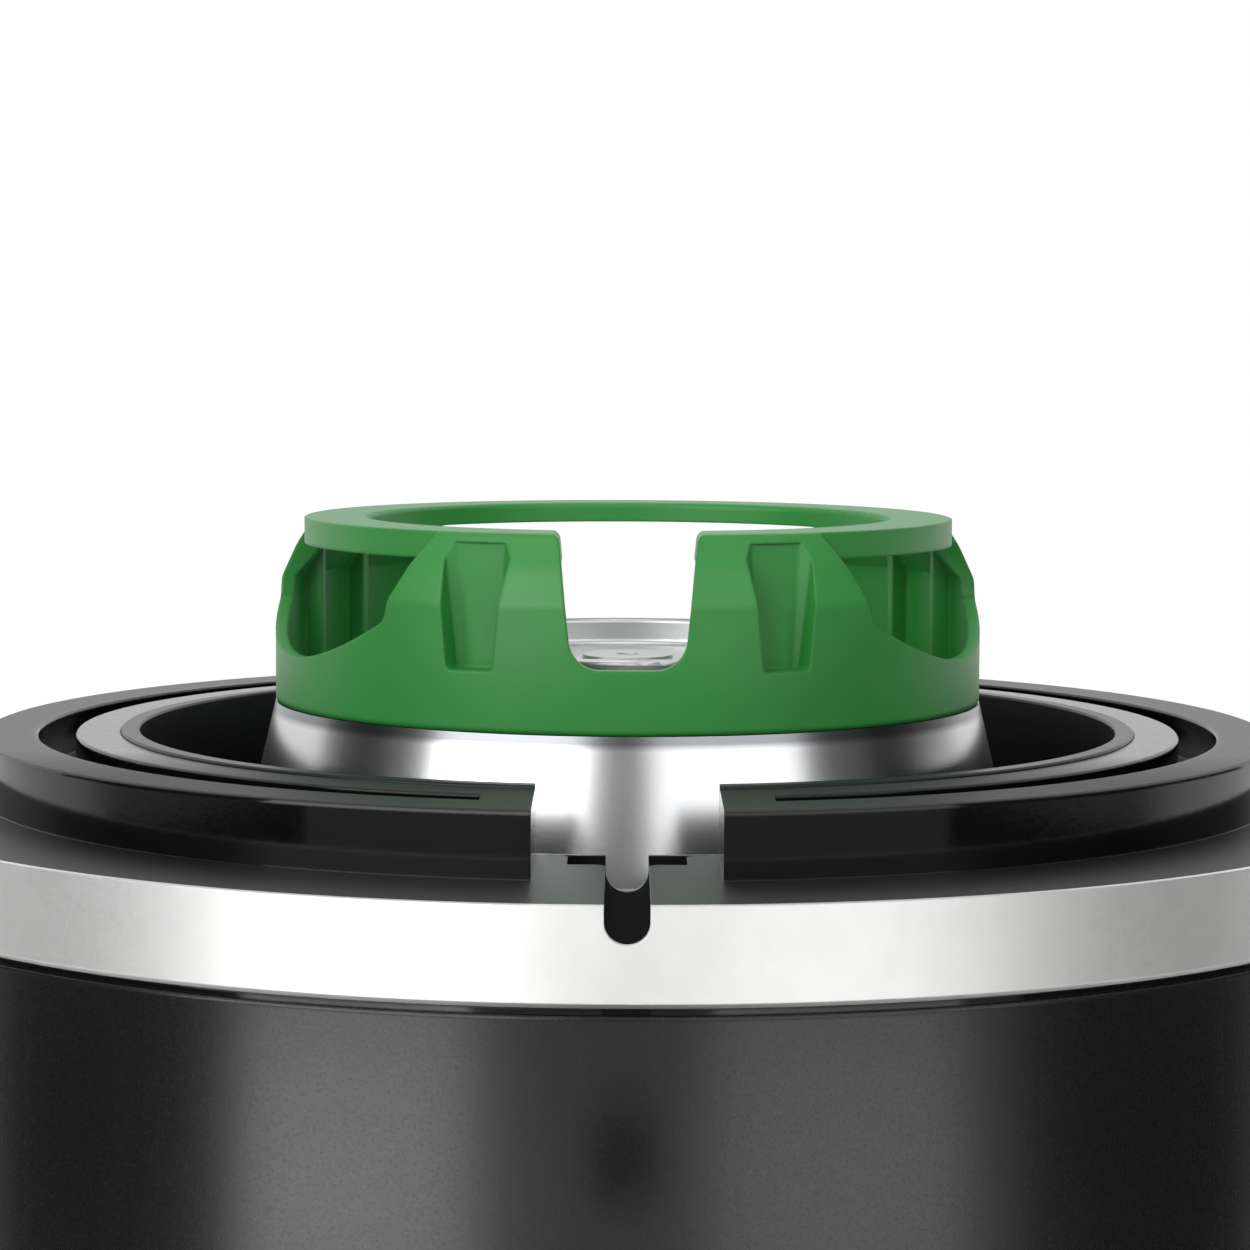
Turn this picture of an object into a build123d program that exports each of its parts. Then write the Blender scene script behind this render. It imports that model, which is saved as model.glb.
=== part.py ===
from build123d import *
from math import atan, cos, degrees, pi, radians, sin, sqrt, tan
import os

# Countertop draft beer dispenser: a round cooled housing with a lift-out keg,
# a front pinch tap and a drip tray.
# Millimetres. +Z is up, the front faces -Y, and the origin is on the floor below the axis of the chamber.

# Clearances shared by all fits
fit_gap = 0.15  # still pieces that sit inside one another
run_gap = 0.05  # radial play of a turning pin
slide_gap = 0.4  # pieces that travel past one another
overrun = 6  # how far a cutting tool runs past the face it opens

# Heights of the housing, stacked upwards from the floor
foot_height = 8
base_thickness = 4
base_room = 92
chassis_thickness = 3
floor_foam = 18
liner_wall = 1.2
chamber_depth = 232

# Radii of the top, built outwards from the chamber
chamber_radius = 101.5
inner_ring_width = 13
groove_width = 7.6
rim_width = 12
ledge_width = 24.4
band_thickness = 1.5

# Top deck, liner lip and trim band
rim_height = 12.4
groove_depth = 9
groove_flare = 3
band_height = 17.5
band_chamfer = 0.9
shadow_gap = 1.2
shadow_depth = 0.5
deck_wall = 3
deck_edge = 0.8
edge_share = 0.3  # middle of the two small bevels that break the rim's edge
outer_skirt = 12
inner_skirt = 30
lip_width = 2.6
lip_proud = 0.6
liner_corner = 10

# Passage for the beer line through the front of the top
gap_width = 33.6
groove_stop = 9.5  # solid deck left between the groove and the gap
recess_width = 21.6
recess_reach = 12
recess_depth = 4
recess_corner = 2
channel_width = 7.8
channel_depth = 6.7

# Outer shell
shell_setback = 0.4
shell_wall = 3
shell_edge = 0.8
boss_radius = 5
boss_height = 14
boss_count = 6

# Foam jacket
foam_room = 10  # free space between foam and shell for the hose

# Screws
screw_radius = 1.5
screw_head_radius = 3
screw_head_height = 1.8
screw_bite = 9

# Base plate, feet and posts
foot_radius = 12
foot_inset = 22
post_radius = 6
post_distance = 122
post_count = 4

# Drip tray and grille
reach = 80  # how far tray and rear cover stand out past the band
tray_width = 170
tray_corner = 28
tray_height = 24
tray_wall = 2.5
tray_floor = 4.5
tray_play = 1.2
tongue_inset = 2
rail_width = 4
rail_height = 2
rail_spacing = 110
grille_thickness = 2.4
grille_lip = 1.2
slot_width = 5
slot_pitch = 10
slot_rows = 6
slot_margin = 16

# Rear cover
cover_width = 190
cover_height = 288
cover_wall = 2.5
cover_corner = 35
cover_edge = 6
vent_slot = 4.5
vent_pitch = 9
vent_reach = 5
side_vent_length = 44

# Cooling stack, along +Y from the liner
cool_height = 88  # centre of the stack above the chamber floor
block_width = 60
block_height = 70
peltier_size = 40
peltier_thickness = 4
sink_size = 100
sink_base = 6
fin_height = 38
fin_thickness = 1.6
fin_count = 17
window_play = 3
sink_screw_across = 48
sink_screw_up = 58
sink_screw_bite = 12

# Fan
fan_size = 92
fan_depth = 25
fan_wall = 2.5
fan_corner = 6
fan_screw_spacing = 82.5
fan_tip_play = 1.6
hub_radius = 18.5
hub_depth = 15
hub_wall = 1.5
stator_radius = 15.5
strut_width = 5
strut_depth = 3
spindle_radius = 1.5
sleeve_radius = 4
blade_count = 7
blade_chord = 19
blade_thickness = 1.6
blade_pitch = 52

# Electrics in the base
supply_width = 76
supply_depth = 86
supply_height = 38
supply_x = 38
supply_y = 62
board_width = 100
board_depth = 64
board_thickness = 1.6
board_y = -76
standoff_height = 6
standoff_radius = 4
standoff_inset = 8
chip_size = 18
chip_height = 3
relay_width = 20
relay_height = 16
can_radius = 8
can_height = 24
inlet_width = 27
inlet_height = 20
inlet_depth = 18
inlet_flange = 3
inlet_flange_thickness = 1.4
inlet_wall = 1.8
inlet_floor = 3
inlet_rise = 34
pin_width = 2
pin_height = 4
pin_length = 9
pin_spacing = 7
lead_radius = 3.2
sensor_size = 10
sensor_depth = 5
sensor_height = 40

# Air pump, hose and port
motor_radius = 14
motor_length = 38
motor_axis_rise = 24
pump_x = -50
pump_y = 58
head_size = 30
head_length = 32
barb_radius = 2
barb_length = 9
bracket_width = 36
bracket_length = 30
hose_radius = 3.2
hose_bend = 12
hose_turn = 140  # direction of the hose's upright run, counted from +X
port_flange_radius = 5.4
port_flange_height = 1.5
port_nipple_radius = 2.5
port_nipple_height = 8
port_bore_radius = 1

# Control panel
panel_width = 92
panel_height = 32
panel_low = 58  # underside of the panel above the base plate
panel_proud = 4
panel_edge = 3
plug_margin = 4
plug_depth = 12
panel_front_wall = 5.6
panel_wall = 3
window_width = 38
window_height = 15
window_depth = 1.2
button_radius = 5.8
button_spacing = 62
button_proud = 1.8
button_flange = 1.3
button_flange_thickness = 1.5
button_travel = 1.2
button_stem_radius = 2.4
switch_size = 6
switch_height = 2.5

# Tap
tap_drop = 60  # top of the tap below the band
tap_height = 68
tap_width = 46
tap_depth = 46
tap_corner = 9
tap_edge = 3
line_radius = 4.8
line_offset = 20  # beer line in front of the shell
lever_width = 10
lever_thickness = 8
lever_offset = 38  # lever pin in front of the shell
pin_rise = 12
arm_length = 20
lever_length = 56
handle_run = 18
handle_rise = 20
grip_radius = 9
grip_length = 22
lever_pin_radius = 2
pin_inset = 1
drive_pin_radius = 1.5
jaw_width = 16
jaw_height = 12
jaw_nip = 1.6  # room left for the squeezed line
jaw_travel = 8.4
jaw_tip_radius = 2
fork_room = 3.4
spout_radius = 8
spout_bore = 5.4
spout_length = 14
tap_screw_rise = 17
spring_wire = 1
spring_radius = 4.2
spring_turns = 3
spring_pitch = 1.7
spring_room = 1

# Keg
keg_play = 2.5
keg_side = 184
keg_shoulder = 26
keg_neck = 28
keg_wall = 1.5
keg_corner = 16
keg_foot_rise = 6
keg_foot_width = 10
keg_neck_flare = 6.6  # neck radius gained from collar to shoulder
shoulder_share = 0.55
crown_inset = 4.4  # crown of the keg inside the collar
crown_rise = 3.5
chime_inset = 17.2  # raised ring inside the crown's edge
chime_width = 3
chime_rise = 12.6
dish_rise = 6.75
valve_bore = 11

# Keg collar
collar_radius = 73.4
collar_height = 38.1
collar_crease = 24.6
crease_round = 4
collar_lean = 6  # how far the collar's top leans in
collar_bulge = 0.5
collar_wall = 2.6
collar_edge = 1
ring_width = 13.4
ring_thickness = 5.4
back_ring_thickness = 4.2
notch_top = 26.8
notch_bottom = 21.5
notch_floor = 12.5
notch_corner = 6
notch_round = 2
grip_turn = 67.5  # middle of a grip window, counted from the front
grip_floor = 11
grip_bend_height = 20.4
grip_bend_width = 66.8
grip_top_width = 73
grip_bend = 3
back_turn = 36.5
back_floor = 10
back_corner = 8
pocket_turn = 24.6
pocket_top = 14.8  # width at the collar's top
pocket_bottom = 9.8
pocket_floor_top = 10.2  # width of the flat floor at its top
pocket_floor_low = 8.1
pocket_low = 11.9
pocket_lip = 1.9  # wall left above a pocket
pocket_depth = 5.6
pocket_facet = 39  # slant of the facets beside the floor, in degrees
rib_turns = (104, 121, 138)
rib_thickness = 2
rib_depth = 4

# Keg valve
valve_flange_radius = 17
valve_flange_height = 1
valve_boss_radius = 9.5
valve_boss_height = 1.5
valve_throat = 2.3
valve_body_radius = 10.6
poppet_radius = 1.9
poppet_drop = 0.8
poppet_head_radius = 5.4
poppet_head_height = 3
cage_radius = 7.6
cage_wall = 1.6
cage_depth = 26
valve_spring_wire = 0.9
valve_spring_radius = 4.4
valve_spring_turns = 4
spear_radius = 5
spear_bore = 3.6
spear_clear = 6

# Derived heights
base_low = foot_height
base_top = base_low + base_thickness
chassis_low = base_top + base_room
chassis_top = chassis_low + chassis_thickness
liner_low = chassis_top + floor_foam
chamber_floor = liner_low + liner_wall
rim_level = chamber_floor + chamber_depth
ledge_level = rim_level - rim_height
band_low = ledge_level - band_height
shell_top = band_low - shadow_gap
deck_under = ledge_level - deck_wall
lip_seat = rim_level + lip_proud - liner_wall
cool_level = chamber_floor + cool_height

# Derived radii and reaches
round_level = ledge_level - channel_depth + channel_width / 2
liner_outer = chamber_radius + liner_wall
inner_ring_radius = chamber_radius + inner_ring_width
groove_radius = inner_ring_radius + groove_width
rim_radius = groove_radius + rim_width
band_inner = rim_radius + ledge_width
band_radius = band_inner + band_thickness
shell_radius = band_radius - shell_setback
shell_inner = shell_radius - shell_wall
deck_inner = liner_outer + fit_gap
skirt_outer = shell_inner - fit_gap
skirt_inner = skirt_outer - deck_wall
foam_radius = shell_inner - foam_room
boss_circle = shell_inner - boss_radius + fit_gap
front_limit = -(band_radius + reach)
rear_limit = band_radius + reach
groove_end = gap_width / 2 + groove_stop
hose_circle = foam_radius + hose_radius + fit_gap
collar_top_radius = collar_radius - collar_lean
ring_inner_radius = collar_top_radius - ring_width
crown_radius = collar_radius - crown_inset
chime_radius = crown_radius - chime_inset
pocket_floor_radius = collar_radius - pocket_depth

ROUND_UP = (Align.CENTER, Align.CENTER, Align.MIN)


def pillar(radius, low, high, x=0, y=0):
    """Upright round bar between two heights."""
    return Pos(x, y, low) * Cylinder(radius, high - low, align=ROUND_UP)


def rod_x(radius, low, high, y, z):
    """Round bar along X."""
    return Pos((low + high) / 2, y, z) * Rot(0, 90, 0) * Cylinder(radius, high - low)


def rod_y(radius, low, high, x, z):
    """Round bar along Y."""
    return Pos(x, (low + high) / 2, z) * Rot(90, 0, 0) * Cylinder(radius, high - low)


def brick(x_span, y_span, z_span):
    """Box between three pairs of limits."""
    spans = (x_span, y_span, z_span)
    size = [high - low for low, high in spans]
    middle = [(low + high) / 2 for low, high in spans]
    return Pos(*middle) * Box(*size)


def around(value, half):
    """Limits that lie evenly around a value."""
    return (value - half, value + half)


def outline(points, radii):
    """Closed flat outline whose corners have their own rounding."""
    return make_face(FilletPolyline(*points, radius=radii, close=True))


def turned(points, radii):
    """Solid turned around Z from an outline of radius and height."""
    return revolve(Plane.XZ * outline(points, radii), Axis.Z)


def upright(face, low, high):
    """Flat XY outline raised between two heights."""
    return Pos(0, 0, low) * extrude(face, high - low)


def polar(radius, turn):
    """Place on a circle, with the turn counted from +X."""
    return (radius * cos(radians(turn)), radius * sin(radians(turn)))


def swung(turn):
    """Turn about Z that takes the front, -Y, towards +X."""
    return Rot(0, 0, turn)


def quarter_arcs(start, start_way, end, end_way):
    """Two arcs that join smoothly and match a direction at both ends."""
    step = end - start
    ways = start_way + end_way
    across = step.dot(ways)
    open_term = 2 * (1 - start_way.dot(end_way))
    reach_along = (-across + sqrt(across * across + open_term * step.dot(step))) / open_term
    middle = (start + end + (start_way - end_way) * reach_along) / 2
    first = TangentArc(start, middle, tangent=start_way)
    second = TangentArc(middle, end, tangent=first % 1)
    return [first, second]


def coil_gap(path, turns):
    """Least distance between points of a coil that lie half a turn or more apart."""
    steps = 48
    count = turns * steps
    places = [path @ (step / count) for step in range(count + 1)]
    gaps = []
    for first in range(count + 1):
        for second in range(first + steps // 2, count + 1):
            gaps.append((places[first] - places[second]).length)
    return min(gaps)


def coil(radius, pitch, turns, wire):
    """Round wire wound upwards around Z, in one unbroken tube."""
    quarters = 4
    rise = pitch / quarters
    climb = pitch / (2 * pi)
    spots = []
    ways = []
    for count in range(turns * quarters + 1):
        x, y = polar(radius, 90 * count)
        way_x, way_y = polar(radius, 90 * count + 90)
        spots.append(Vector(x, y, rise * count))
        ways.append(Vector(way_x, way_y, climb).normalized())
    edges = []
    for count in range(turns * quarters):
        edges += quarter_arcs(spots[count], ways[count], spots[count + 1], ways[count + 1])
    path = Wire(edges)
    print("least gap between the turns of a coil", round(coil_gap(path, turns) - wire, 3))
    section = Plane(origin=spots[0], z_dir=ways[0]) * Circle(wire / 2)
    return sweep(section, path)


# Base


def tray_outline(inset):
    """Footprint of the tray: rounded at the front, hollow against the shell."""
    half = tray_width / 2 - inset
    front = front_limit + inset
    corner = tray_corner - inset
    points = [(-half, 0), (-half, front), (half, front), (half, 0)]
    return outline(points, [0, corner, corner, 0]) - Circle(shell_radius + tray_play + inset)


def tongue_outline():
    """Front of the base plate, just inside the tray's outline."""
    half = tray_width / 2 - tongue_inset
    front = front_limit + tongue_inset
    corner = tray_corner - tongue_inset
    points = [(-half, 0), (-half, front), (half, front), (half, 0)]
    return outline(points, [0, corner, corner, 0])


def cover_outline(inset):
    """Footprint of the rear cover, running in under the shell."""
    half = cover_width / 2 - inset
    rear = rear_limit - inset
    corner = cover_corner - inset
    points = [(-half, 0), (half, 0), (half, rear), (-half, rear)]
    return outline(points, [0, 0, corner, corner])


def boss_places():
    """Places of the screw bosses of the shell and of the rear cover."""
    places = [polar(boss_circle, 30 + 360 / boss_count * count) for count in range(boss_count)]
    side = cover_width / 2 - cover_wall - boss_radius + fit_gap
    back = rear_limit - cover_corner
    places += [(-side, back), (side, back)]
    return places


def post_places():
    """Places of the posts that carry the chassis."""
    return [polar(post_distance, 45 + 360 / post_count * count) for count in range(post_count)]


def standoff_places():
    """Places of the four standoffs of the control board."""
    half_x = board_width / 2 - standoff_inset
    half_y = board_depth / 2 - standoff_inset
    return [(x, board_y + y) for x in (-half_x, half_x) for y in (-half_y, half_y)]


def foot_places():
    """Places of the four feet."""
    front_x = tray_width / 2 - foot_inset
    front_y = front_limit + foot_inset + foot_radius
    rear_x = cover_width / 2 - foot_inset
    rear_y = rear_limit - foot_inset - foot_radius
    return [(-front_x, front_y), (front_x, front_y), (-rear_x, rear_y), (rear_x, rear_y)]


def base_plate():
    plate = upright(Circle(shell_radius) + tongue_outline() + cover_outline(0), base_low, base_top)
    for side in (-1, 1):
        rail_x = around(side * rail_spacing / 2, rail_width / 2)
        rail_y = (front_limit + tray_corner, -shell_radius)
        plate += brick(rail_x, rail_y, (base_low, base_top + rail_height))
    for x, y in post_places():
        plate += pillar(post_radius, base_low, chassis_low, x, y)
        bore_low = chassis_low - screw_bite - overrun
        plate -= pillar(screw_radius + run_gap, bore_low, chassis_low + overrun, x, y)
    for x, y in standoff_places():
        plate += pillar(standoff_radius, base_low, base_top + standoff_height, x, y)
    for x, y in boss_places():
        plate -= pillar(screw_radius + fit_gap, base_low - overrun, base_top + overrun, x, y)
        plate -= pillar(screw_head_radius + fit_gap, base_low - overrun, base_low + screw_head_height, x, y)
    return plate


def rubber_feet():
    return [pillar(foot_radius, 0, foot_height, x, y) for x, y in foot_places()]


def screw_up(x, y, head_low, tip):
    """Screw driven upwards, with its head at the bottom."""
    head = pillar(screw_head_radius, head_low, head_low + screw_head_height, x, y)
    return head + pillar(screw_radius, head_low, tip, x, y)


def base_screws():
    return [screw_up(x, y, base_low, base_top + screw_bite) for x, y in boss_places()]


def chassis_deck():
    plate = pillar(shell_inner - slide_gap, chassis_low, chassis_top)
    for x, y in post_places():
        plate -= pillar(screw_radius + fit_gap, chassis_low - overrun, chassis_top + overrun, x, y)
        head_low = chassis_top - screw_head_height
        plate -= pillar(screw_head_radius + fit_gap, head_low, chassis_top + overrun, x, y)
    hose_x, hose_y = polar(hose_circle, hose_turn)
    hose_hole = hose_radius + slide_gap
    return plate - pillar(hose_hole, chassis_low - overrun, chassis_top + overrun, hose_x, hose_y)


def chassis_screws():
    screws = []
    for x, y in post_places():
        head = pillar(screw_head_radius, chassis_top - screw_head_height, chassis_top, x, y)
        screws.append(head + pillar(screw_radius, chassis_low - screw_bite, chassis_top, x, y))
    return screws


# Top of the housing


def line_channel():
    """Gap in the rim and round-bottomed channel that the beer line lies in."""
    half_way = -chamber_radius / 2
    gap_y = (-rim_radius - overrun, half_way)
    gap = brick(around(0, gap_width / 2), gap_y, (ledge_level, rim_level + overrun))
    channel_y = (-band_radius - overrun, half_way)
    channel = brick(around(0, channel_width / 2), channel_y, (round_level, ledge_level + overrun))
    return gap + channel + rod_y(channel_width / 2, *channel_y, 0, round_level)


def line_passage():
    """Channel with the cross slot at the chamber, whose open corners are rounded."""
    half_way = -chamber_radius / 2
    half = recess_width / 2
    wide = half + 2 * recess_corner
    side = channel_width / 2
    edge = -sqrt(deck_inner * deck_inner - half * half)
    slot_front = -(chamber_radius + recess_reach)
    mouth = slot_front - 2 * recess_corner
    right = [(side, mouth), (side, slot_front), (half, slot_front), (half, edge)]
    right += [(wide, edge), (wide, half_way)]
    left = [(-x, y) for x, y in reversed(right)]
    turns = [0, recess_corner, 0, recess_corner, 0, 0]
    upper = upright(outline(right + left, turns + turns[::-1]), round_level, ledge_level + overrun)
    slot = brick(around(0, half), (slot_front, half_way), (ledge_level - recess_depth, ledge_level))
    return line_channel() + upper + slot


def channel_block(gap):
    """Thicker part of the deck around the channel."""
    half = recess_width / 2 + deck_wall + gap
    low = ledge_level - channel_depth - deck_wall - gap
    block = brick(around(0, half), (-band_radius, -deck_inner), (low, ledge_level - deck_wall / 2))
    room = pillar(skirt_inner + deck_wall / 2, low, ledge_level)
    return block & (room - pillar(deck_inner, low, ledge_level))


def groove_ring():
    """Deep groove of the lid, stopped on both sides of the gap."""
    floor = rim_level - groove_depth
    above = rim_level + overrun
    bevel = deck_edge / 2
    points = [
        (inner_ring_radius, floor),
        (groove_radius, floor),
        (groove_radius, rim_level - bevel),
        (groove_radius + bevel, rim_level),
        (groove_radius + bevel, above),
        (inner_ring_radius - bevel, above),
        (inner_ring_radius - bevel, rim_level),
        (inner_ring_radius, rim_level - bevel),
    ]
    ring = turned(points, [groove_flare, 0, 0, 0, 0, 0, 0, 0])
    return ring - brick(around(0, groove_end), (-rim_radius, 0), (floor - overrun, above + overrun))


def top_deck():
    lip_edge = liner_outer + lip_width + fit_gap
    flange = shell_radius - shadow_depth
    soft = deck_edge * edge_share
    points = [
        (deck_inner, rim_level - inner_skirt),
        (deck_inner, lip_seat),
        (lip_edge, lip_seat),
        (lip_edge, rim_level),
        (rim_radius - deck_edge, rim_level),
        (rim_radius - soft, rim_level - soft),
        (rim_radius, rim_level - deck_edge),
        (rim_radius, ledge_level),
        (band_inner - fit_gap, ledge_level),
        (band_inner - fit_gap, band_low),
        (flange, band_low),
        (flange, shell_top),
        (skirt_outer, shell_top),
        (skirt_outer, shell_top - outer_skirt),
        (skirt_inner, shell_top - outer_skirt),
        (skirt_inner, deck_under),
        (deck_inner + deck_wall, deck_under),
        (deck_inner + deck_wall, rim_level - inner_skirt),
    ]
    deck = turned(points, [0] * len(points))
    deck += channel_block(0)
    deck -= groove_ring()
    deck -= line_passage()
    port_x, port_y = polar(hose_circle, hose_turn)
    return deck - pillar(barb_radius + fit_gap, deck_under - overrun, ledge_level + overrun, port_x, port_y)


def trim_band():
    points = [
        (band_inner, band_low),
        (band_radius - band_chamfer, band_low),
        (band_radius, band_low + band_chamfer),
        (band_radius, ledge_level),
        (band_inner, ledge_level),
    ]
    return turned(points, [0, 0, 0, 0, 0]) - line_passage()


def liner_points(gap):
    """Outside of the liner from its floor to its lip."""
    return [(0, liner_low - gap), (liner_outer + gap, liner_low - gap), (liner_outer + gap, lip_seat)]


def chamber_liner():
    lip_edge = liner_outer + lip_width
    lip_top = rim_level + lip_proud
    lip_bevel = liner_wall / 3
    points = liner_points(0) + [
        (lip_edge, lip_seat),
        (lip_edge, lip_top - lip_bevel),
        (lip_edge - lip_bevel, lip_top),
        (chamber_radius + lip_bevel, lip_top),
        (chamber_radius, lip_top - lip_bevel),
        (chamber_radius, chamber_floor),
        (0, chamber_floor),
    ]
    cup = turned(points, [0, liner_corner, 0, 0, 0, 0, 0, 0, liner_corner - liner_wall, 0])
    return cup - line_channel()


def insulation_foam():
    jacket = pillar(foam_radius, chassis_top, deck_under)
    well = liner_points(fit_gap) + [(0, lip_seat)]
    jacket -= turned(well, [0, liner_corner + fit_gap, 0, 0])
    skirt_room = deck_inner + deck_wall + fit_gap
    jacket -= pillar(skirt_room, rim_level - inner_skirt - fit_gap, rim_level)
    jacket -= channel_block(fit_gap)
    jacket -= cold_space(fit_gap)
    sensor_y = (-liner_outer - sensor_depth - fit_gap, 0)
    sensor_z = around(chamber_floor + sensor_height, sensor_size / 2 + fit_gap)
    return jacket - brick(around(0, sensor_size / 2 + fit_gap), sensor_y, sensor_z)


# Shell and rear cover


def outer_shell():
    points = [
        (shell_inner, base_top),
        (shell_radius, base_top),
        (shell_radius, shell_top),
        (shell_inner, shell_top),
    ]
    shell = turned(points, [0, 0, shell_edge, 0])
    for x, y in boss_places()[:boss_count]:
        boss = pillar(boss_radius, base_top, base_top + boss_height, x, y)
        shell += boss & pillar(shell_radius - fit_gap, base_top, base_top + boss_height)
        shell -= pillar(screw_radius + run_gap, base_top - overrun, base_top + screw_bite + run_gap, x, y)
    window_half = sink_size / 2 + window_play
    window_y = (chamber_radius, rear_limit)
    shell -= brick(around(0, window_half), window_y, around(cool_level, window_half))
    shell -= panel_plug(fit_gap)
    shell -= rod_y(lead_radius + fit_gap, chamber_radius, rear_limit, supply_x, base_top + inlet_rise)
    for level in tap_screw_levels():
        shell -= rod_y(screw_radius + fit_gap, -band_radius - overrun, -chamber_radius, 0, level)
    return shell


def vent_rows():
    """Heights of the vent slots around the fan, with their half widths."""
    reach_out = fan_size / 2
    rows = []
    for count in range(-vent_reach + 1, vent_reach):
        rise = count * vent_pitch
        rows.append((cool_level + rise, sqrt(reach_out * reach_out - rise * rise)))
    return rows


def rear_cover():
    top = base_top + cover_height
    cover = upright(cover_outline(0), base_top, top)
    cover = fillet(cover.faces().sort_by(Axis.Z)[-1].edges(), cover_edge)
    cover -= upright(cover_outline(cover_wall), base_top - overrun, top - cover_wall)
    for x, y in boss_places()[boss_count:]:
        boss = pillar(boss_radius, base_top, base_top + boss_height, x, y)
        cover += boss & upright(cover_outline(cover_wall / 2), base_top, base_top + boss_height)
        cover -= pillar(screw_radius + run_gap, base_top - overrun, base_top + screw_bite + run_gap, x, y)
    cover -= pillar(shell_radius + fit_gap, base_low, top + overrun)
    rear_span = (rear_limit - cover_wall - overrun, rear_limit + overrun)
    side_start = rear_limit - cover_corner - side_vent_length
    side_span = (side_start, side_start + side_vent_length)
    for level, half in vent_rows():
        slot_z = around(level, vent_slot / 2)
        cover -= brick(around(0, half), rear_span, slot_z)
        cover -= brick(around(0, cover_width), side_span, slot_z)
    inlet_z = base_top + inlet_rise
    hole_x = around(supply_x, inlet_width / 2 + fit_gap)
    cover -= brick(hole_x, rear_span, around(inlet_z, inlet_height / 2 + fit_gap))
    seat_x = around(supply_x, inlet_width / 2 + inlet_flange + fit_gap)
    seat_y = (rear_limit - inlet_flange_thickness, rear_limit + overrun)
    return cover - brick(seat_x, seat_y, around(inlet_z, inlet_height / 2 + inlet_flange + fit_gap))


# Cooling stack

block_end = foam_radius + shell_wall
peltier_end = block_end + peltier_thickness
sink_end = peltier_end + sink_base
fin_end = sink_end + fin_height
fan_end = fin_end + fan_depth


def cold_space(gap):
    """Outer form of the cold block, let into the foam."""
    body_x = around(0, block_width / 2 + gap)
    return brick(body_x, (0, block_end), around(cool_level, block_height / 2 + gap))


def sink_screw_places():
    """Places of the screws that clamp the stack, across and up."""
    half_x = sink_screw_across / 2
    half_z = sink_screw_up / 2
    return [(x, cool_level + z) for x in (-half_x, half_x) for z in (-half_z, half_z)]


def fan_screw_places():
    """Places of the four fan screws."""
    half = fan_screw_spacing / 2
    return [(x, cool_level + z) for x in (-half, half) for z in (-half, half)]


def cold_block():
    block = cold_space(0) - pillar(deck_inner, 0, rim_level)
    for x, z in sink_screw_places():
        block -= rod_y(screw_radius + run_gap, block_end - sink_screw_bite, block_end + overrun, x, z)
    return block


def peltier_module():
    half = peltier_size / 2
    return brick(around(0, half), (block_end, peltier_end), around(cool_level, half))


def heat_sink():
    half = sink_size / 2
    sink = brick(around(0, half), (peltier_end, sink_end), around(cool_level, half))
    pitch = (sink_size - fin_thickness) / (fin_count - 1)
    for count in range(fin_count):
        start = -half + pitch * count
        sink += brick((start, start + fin_thickness), (peltier_end, fin_end), around(cool_level, half))
    for x, z in sink_screw_places():
        sink -= rod_y(screw_radius + fit_gap, peltier_end - overrun, sink_end + overrun, x, z)
        sink -= rod_y(screw_head_radius + slide_gap, sink_end, fin_end + overrun, x, z)
    for x, z in fan_screw_places():
        sink -= rod_y(screw_radius + run_gap, fin_end - screw_bite, fin_end + overrun, x, z)
    return sink


def screw_back(x, z, tip, head_start):
    """Screw along Y with its head at the rear."""
    head = rod_y(screw_head_radius, head_start, head_start + screw_head_height, x, z)
    return head + rod_y(screw_radius, tip, head_start + screw_head_height, x, z)


def heat_sink_screws():
    tip = block_end - sink_screw_bite
    return [screw_back(x, z, tip, sink_end) for x, z in sink_screw_places()]


def fan_screws():
    return [screw_back(x, z, fin_end - screw_bite, fan_end) for x, z in fan_screw_places()]


def fan_frame():
    half = fan_size / 2
    bore = half - fan_wall
    points = [(-half, -half), (half, -half), (half, half), (-half, half)]
    face = outline(points, [fan_corner] * 4) - Circle(bore)
    body = Pos(0, fan_end, cool_level) * Rot(90, 0, 0) * extrude(face, fan_depth)
    hub_y = (fan_end - strut_depth, fan_end)
    body += rod_y(stator_radius, *hub_y, 0, cool_level)
    arm = bore + fan_wall / 2
    body += brick(around(0, arm), hub_y, around(cool_level, strut_width / 2))
    body += brick(around(0, strut_width / 2), hub_y, around(cool_level, arm))
    body += rod_y(sleeve_radius, fan_end - hub_depth, fan_end, 0, cool_level)
    body -= rod_y(spindle_radius + run_gap, fin_end, fan_end + overrun, 0, cool_level)
    for x, z in fan_screw_places():
        body -= rod_y(screw_radius + fit_gap, fin_end - overrun, fan_end + overrun, x, z)
    return body


def fan_rotor():
    rear = fan_end - strut_depth - slide_gap
    front = fan_end - hub_depth - hub_wall - slide_gap
    rotor = rod_y(hub_radius, front, rear, 0, cool_level)
    rotor -= rod_y(hub_radius - hub_wall, front + hub_wall, rear + overrun, 0, cool_level)
    rotor += rod_y(spindle_radius, front, fan_end - strut_depth, 0, cool_level)
    tip = fan_size / 2 - fan_wall - fan_tip_play
    root = hub_radius - hub_wall / 2
    middle = (front + rear) / 2
    blade = Rot(0, 0, blade_pitch) * Box(blade_thickness, blade_chord, tip - root)
    blade = Pos(0, 0, (root + tip) / 2) * blade
    spare = blade_chord
    trim = Rot(90, 0, 0) * (Cylinder(tip, spare * 2) - Cylinder(root, spare * 2))
    blade = blade & trim
    for count in range(blade_count):
        rotor += Pos(0, middle, cool_level) * Rot(0, 360 / blade_count * count, 0) * blade
    return rotor


# Electrics


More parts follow.
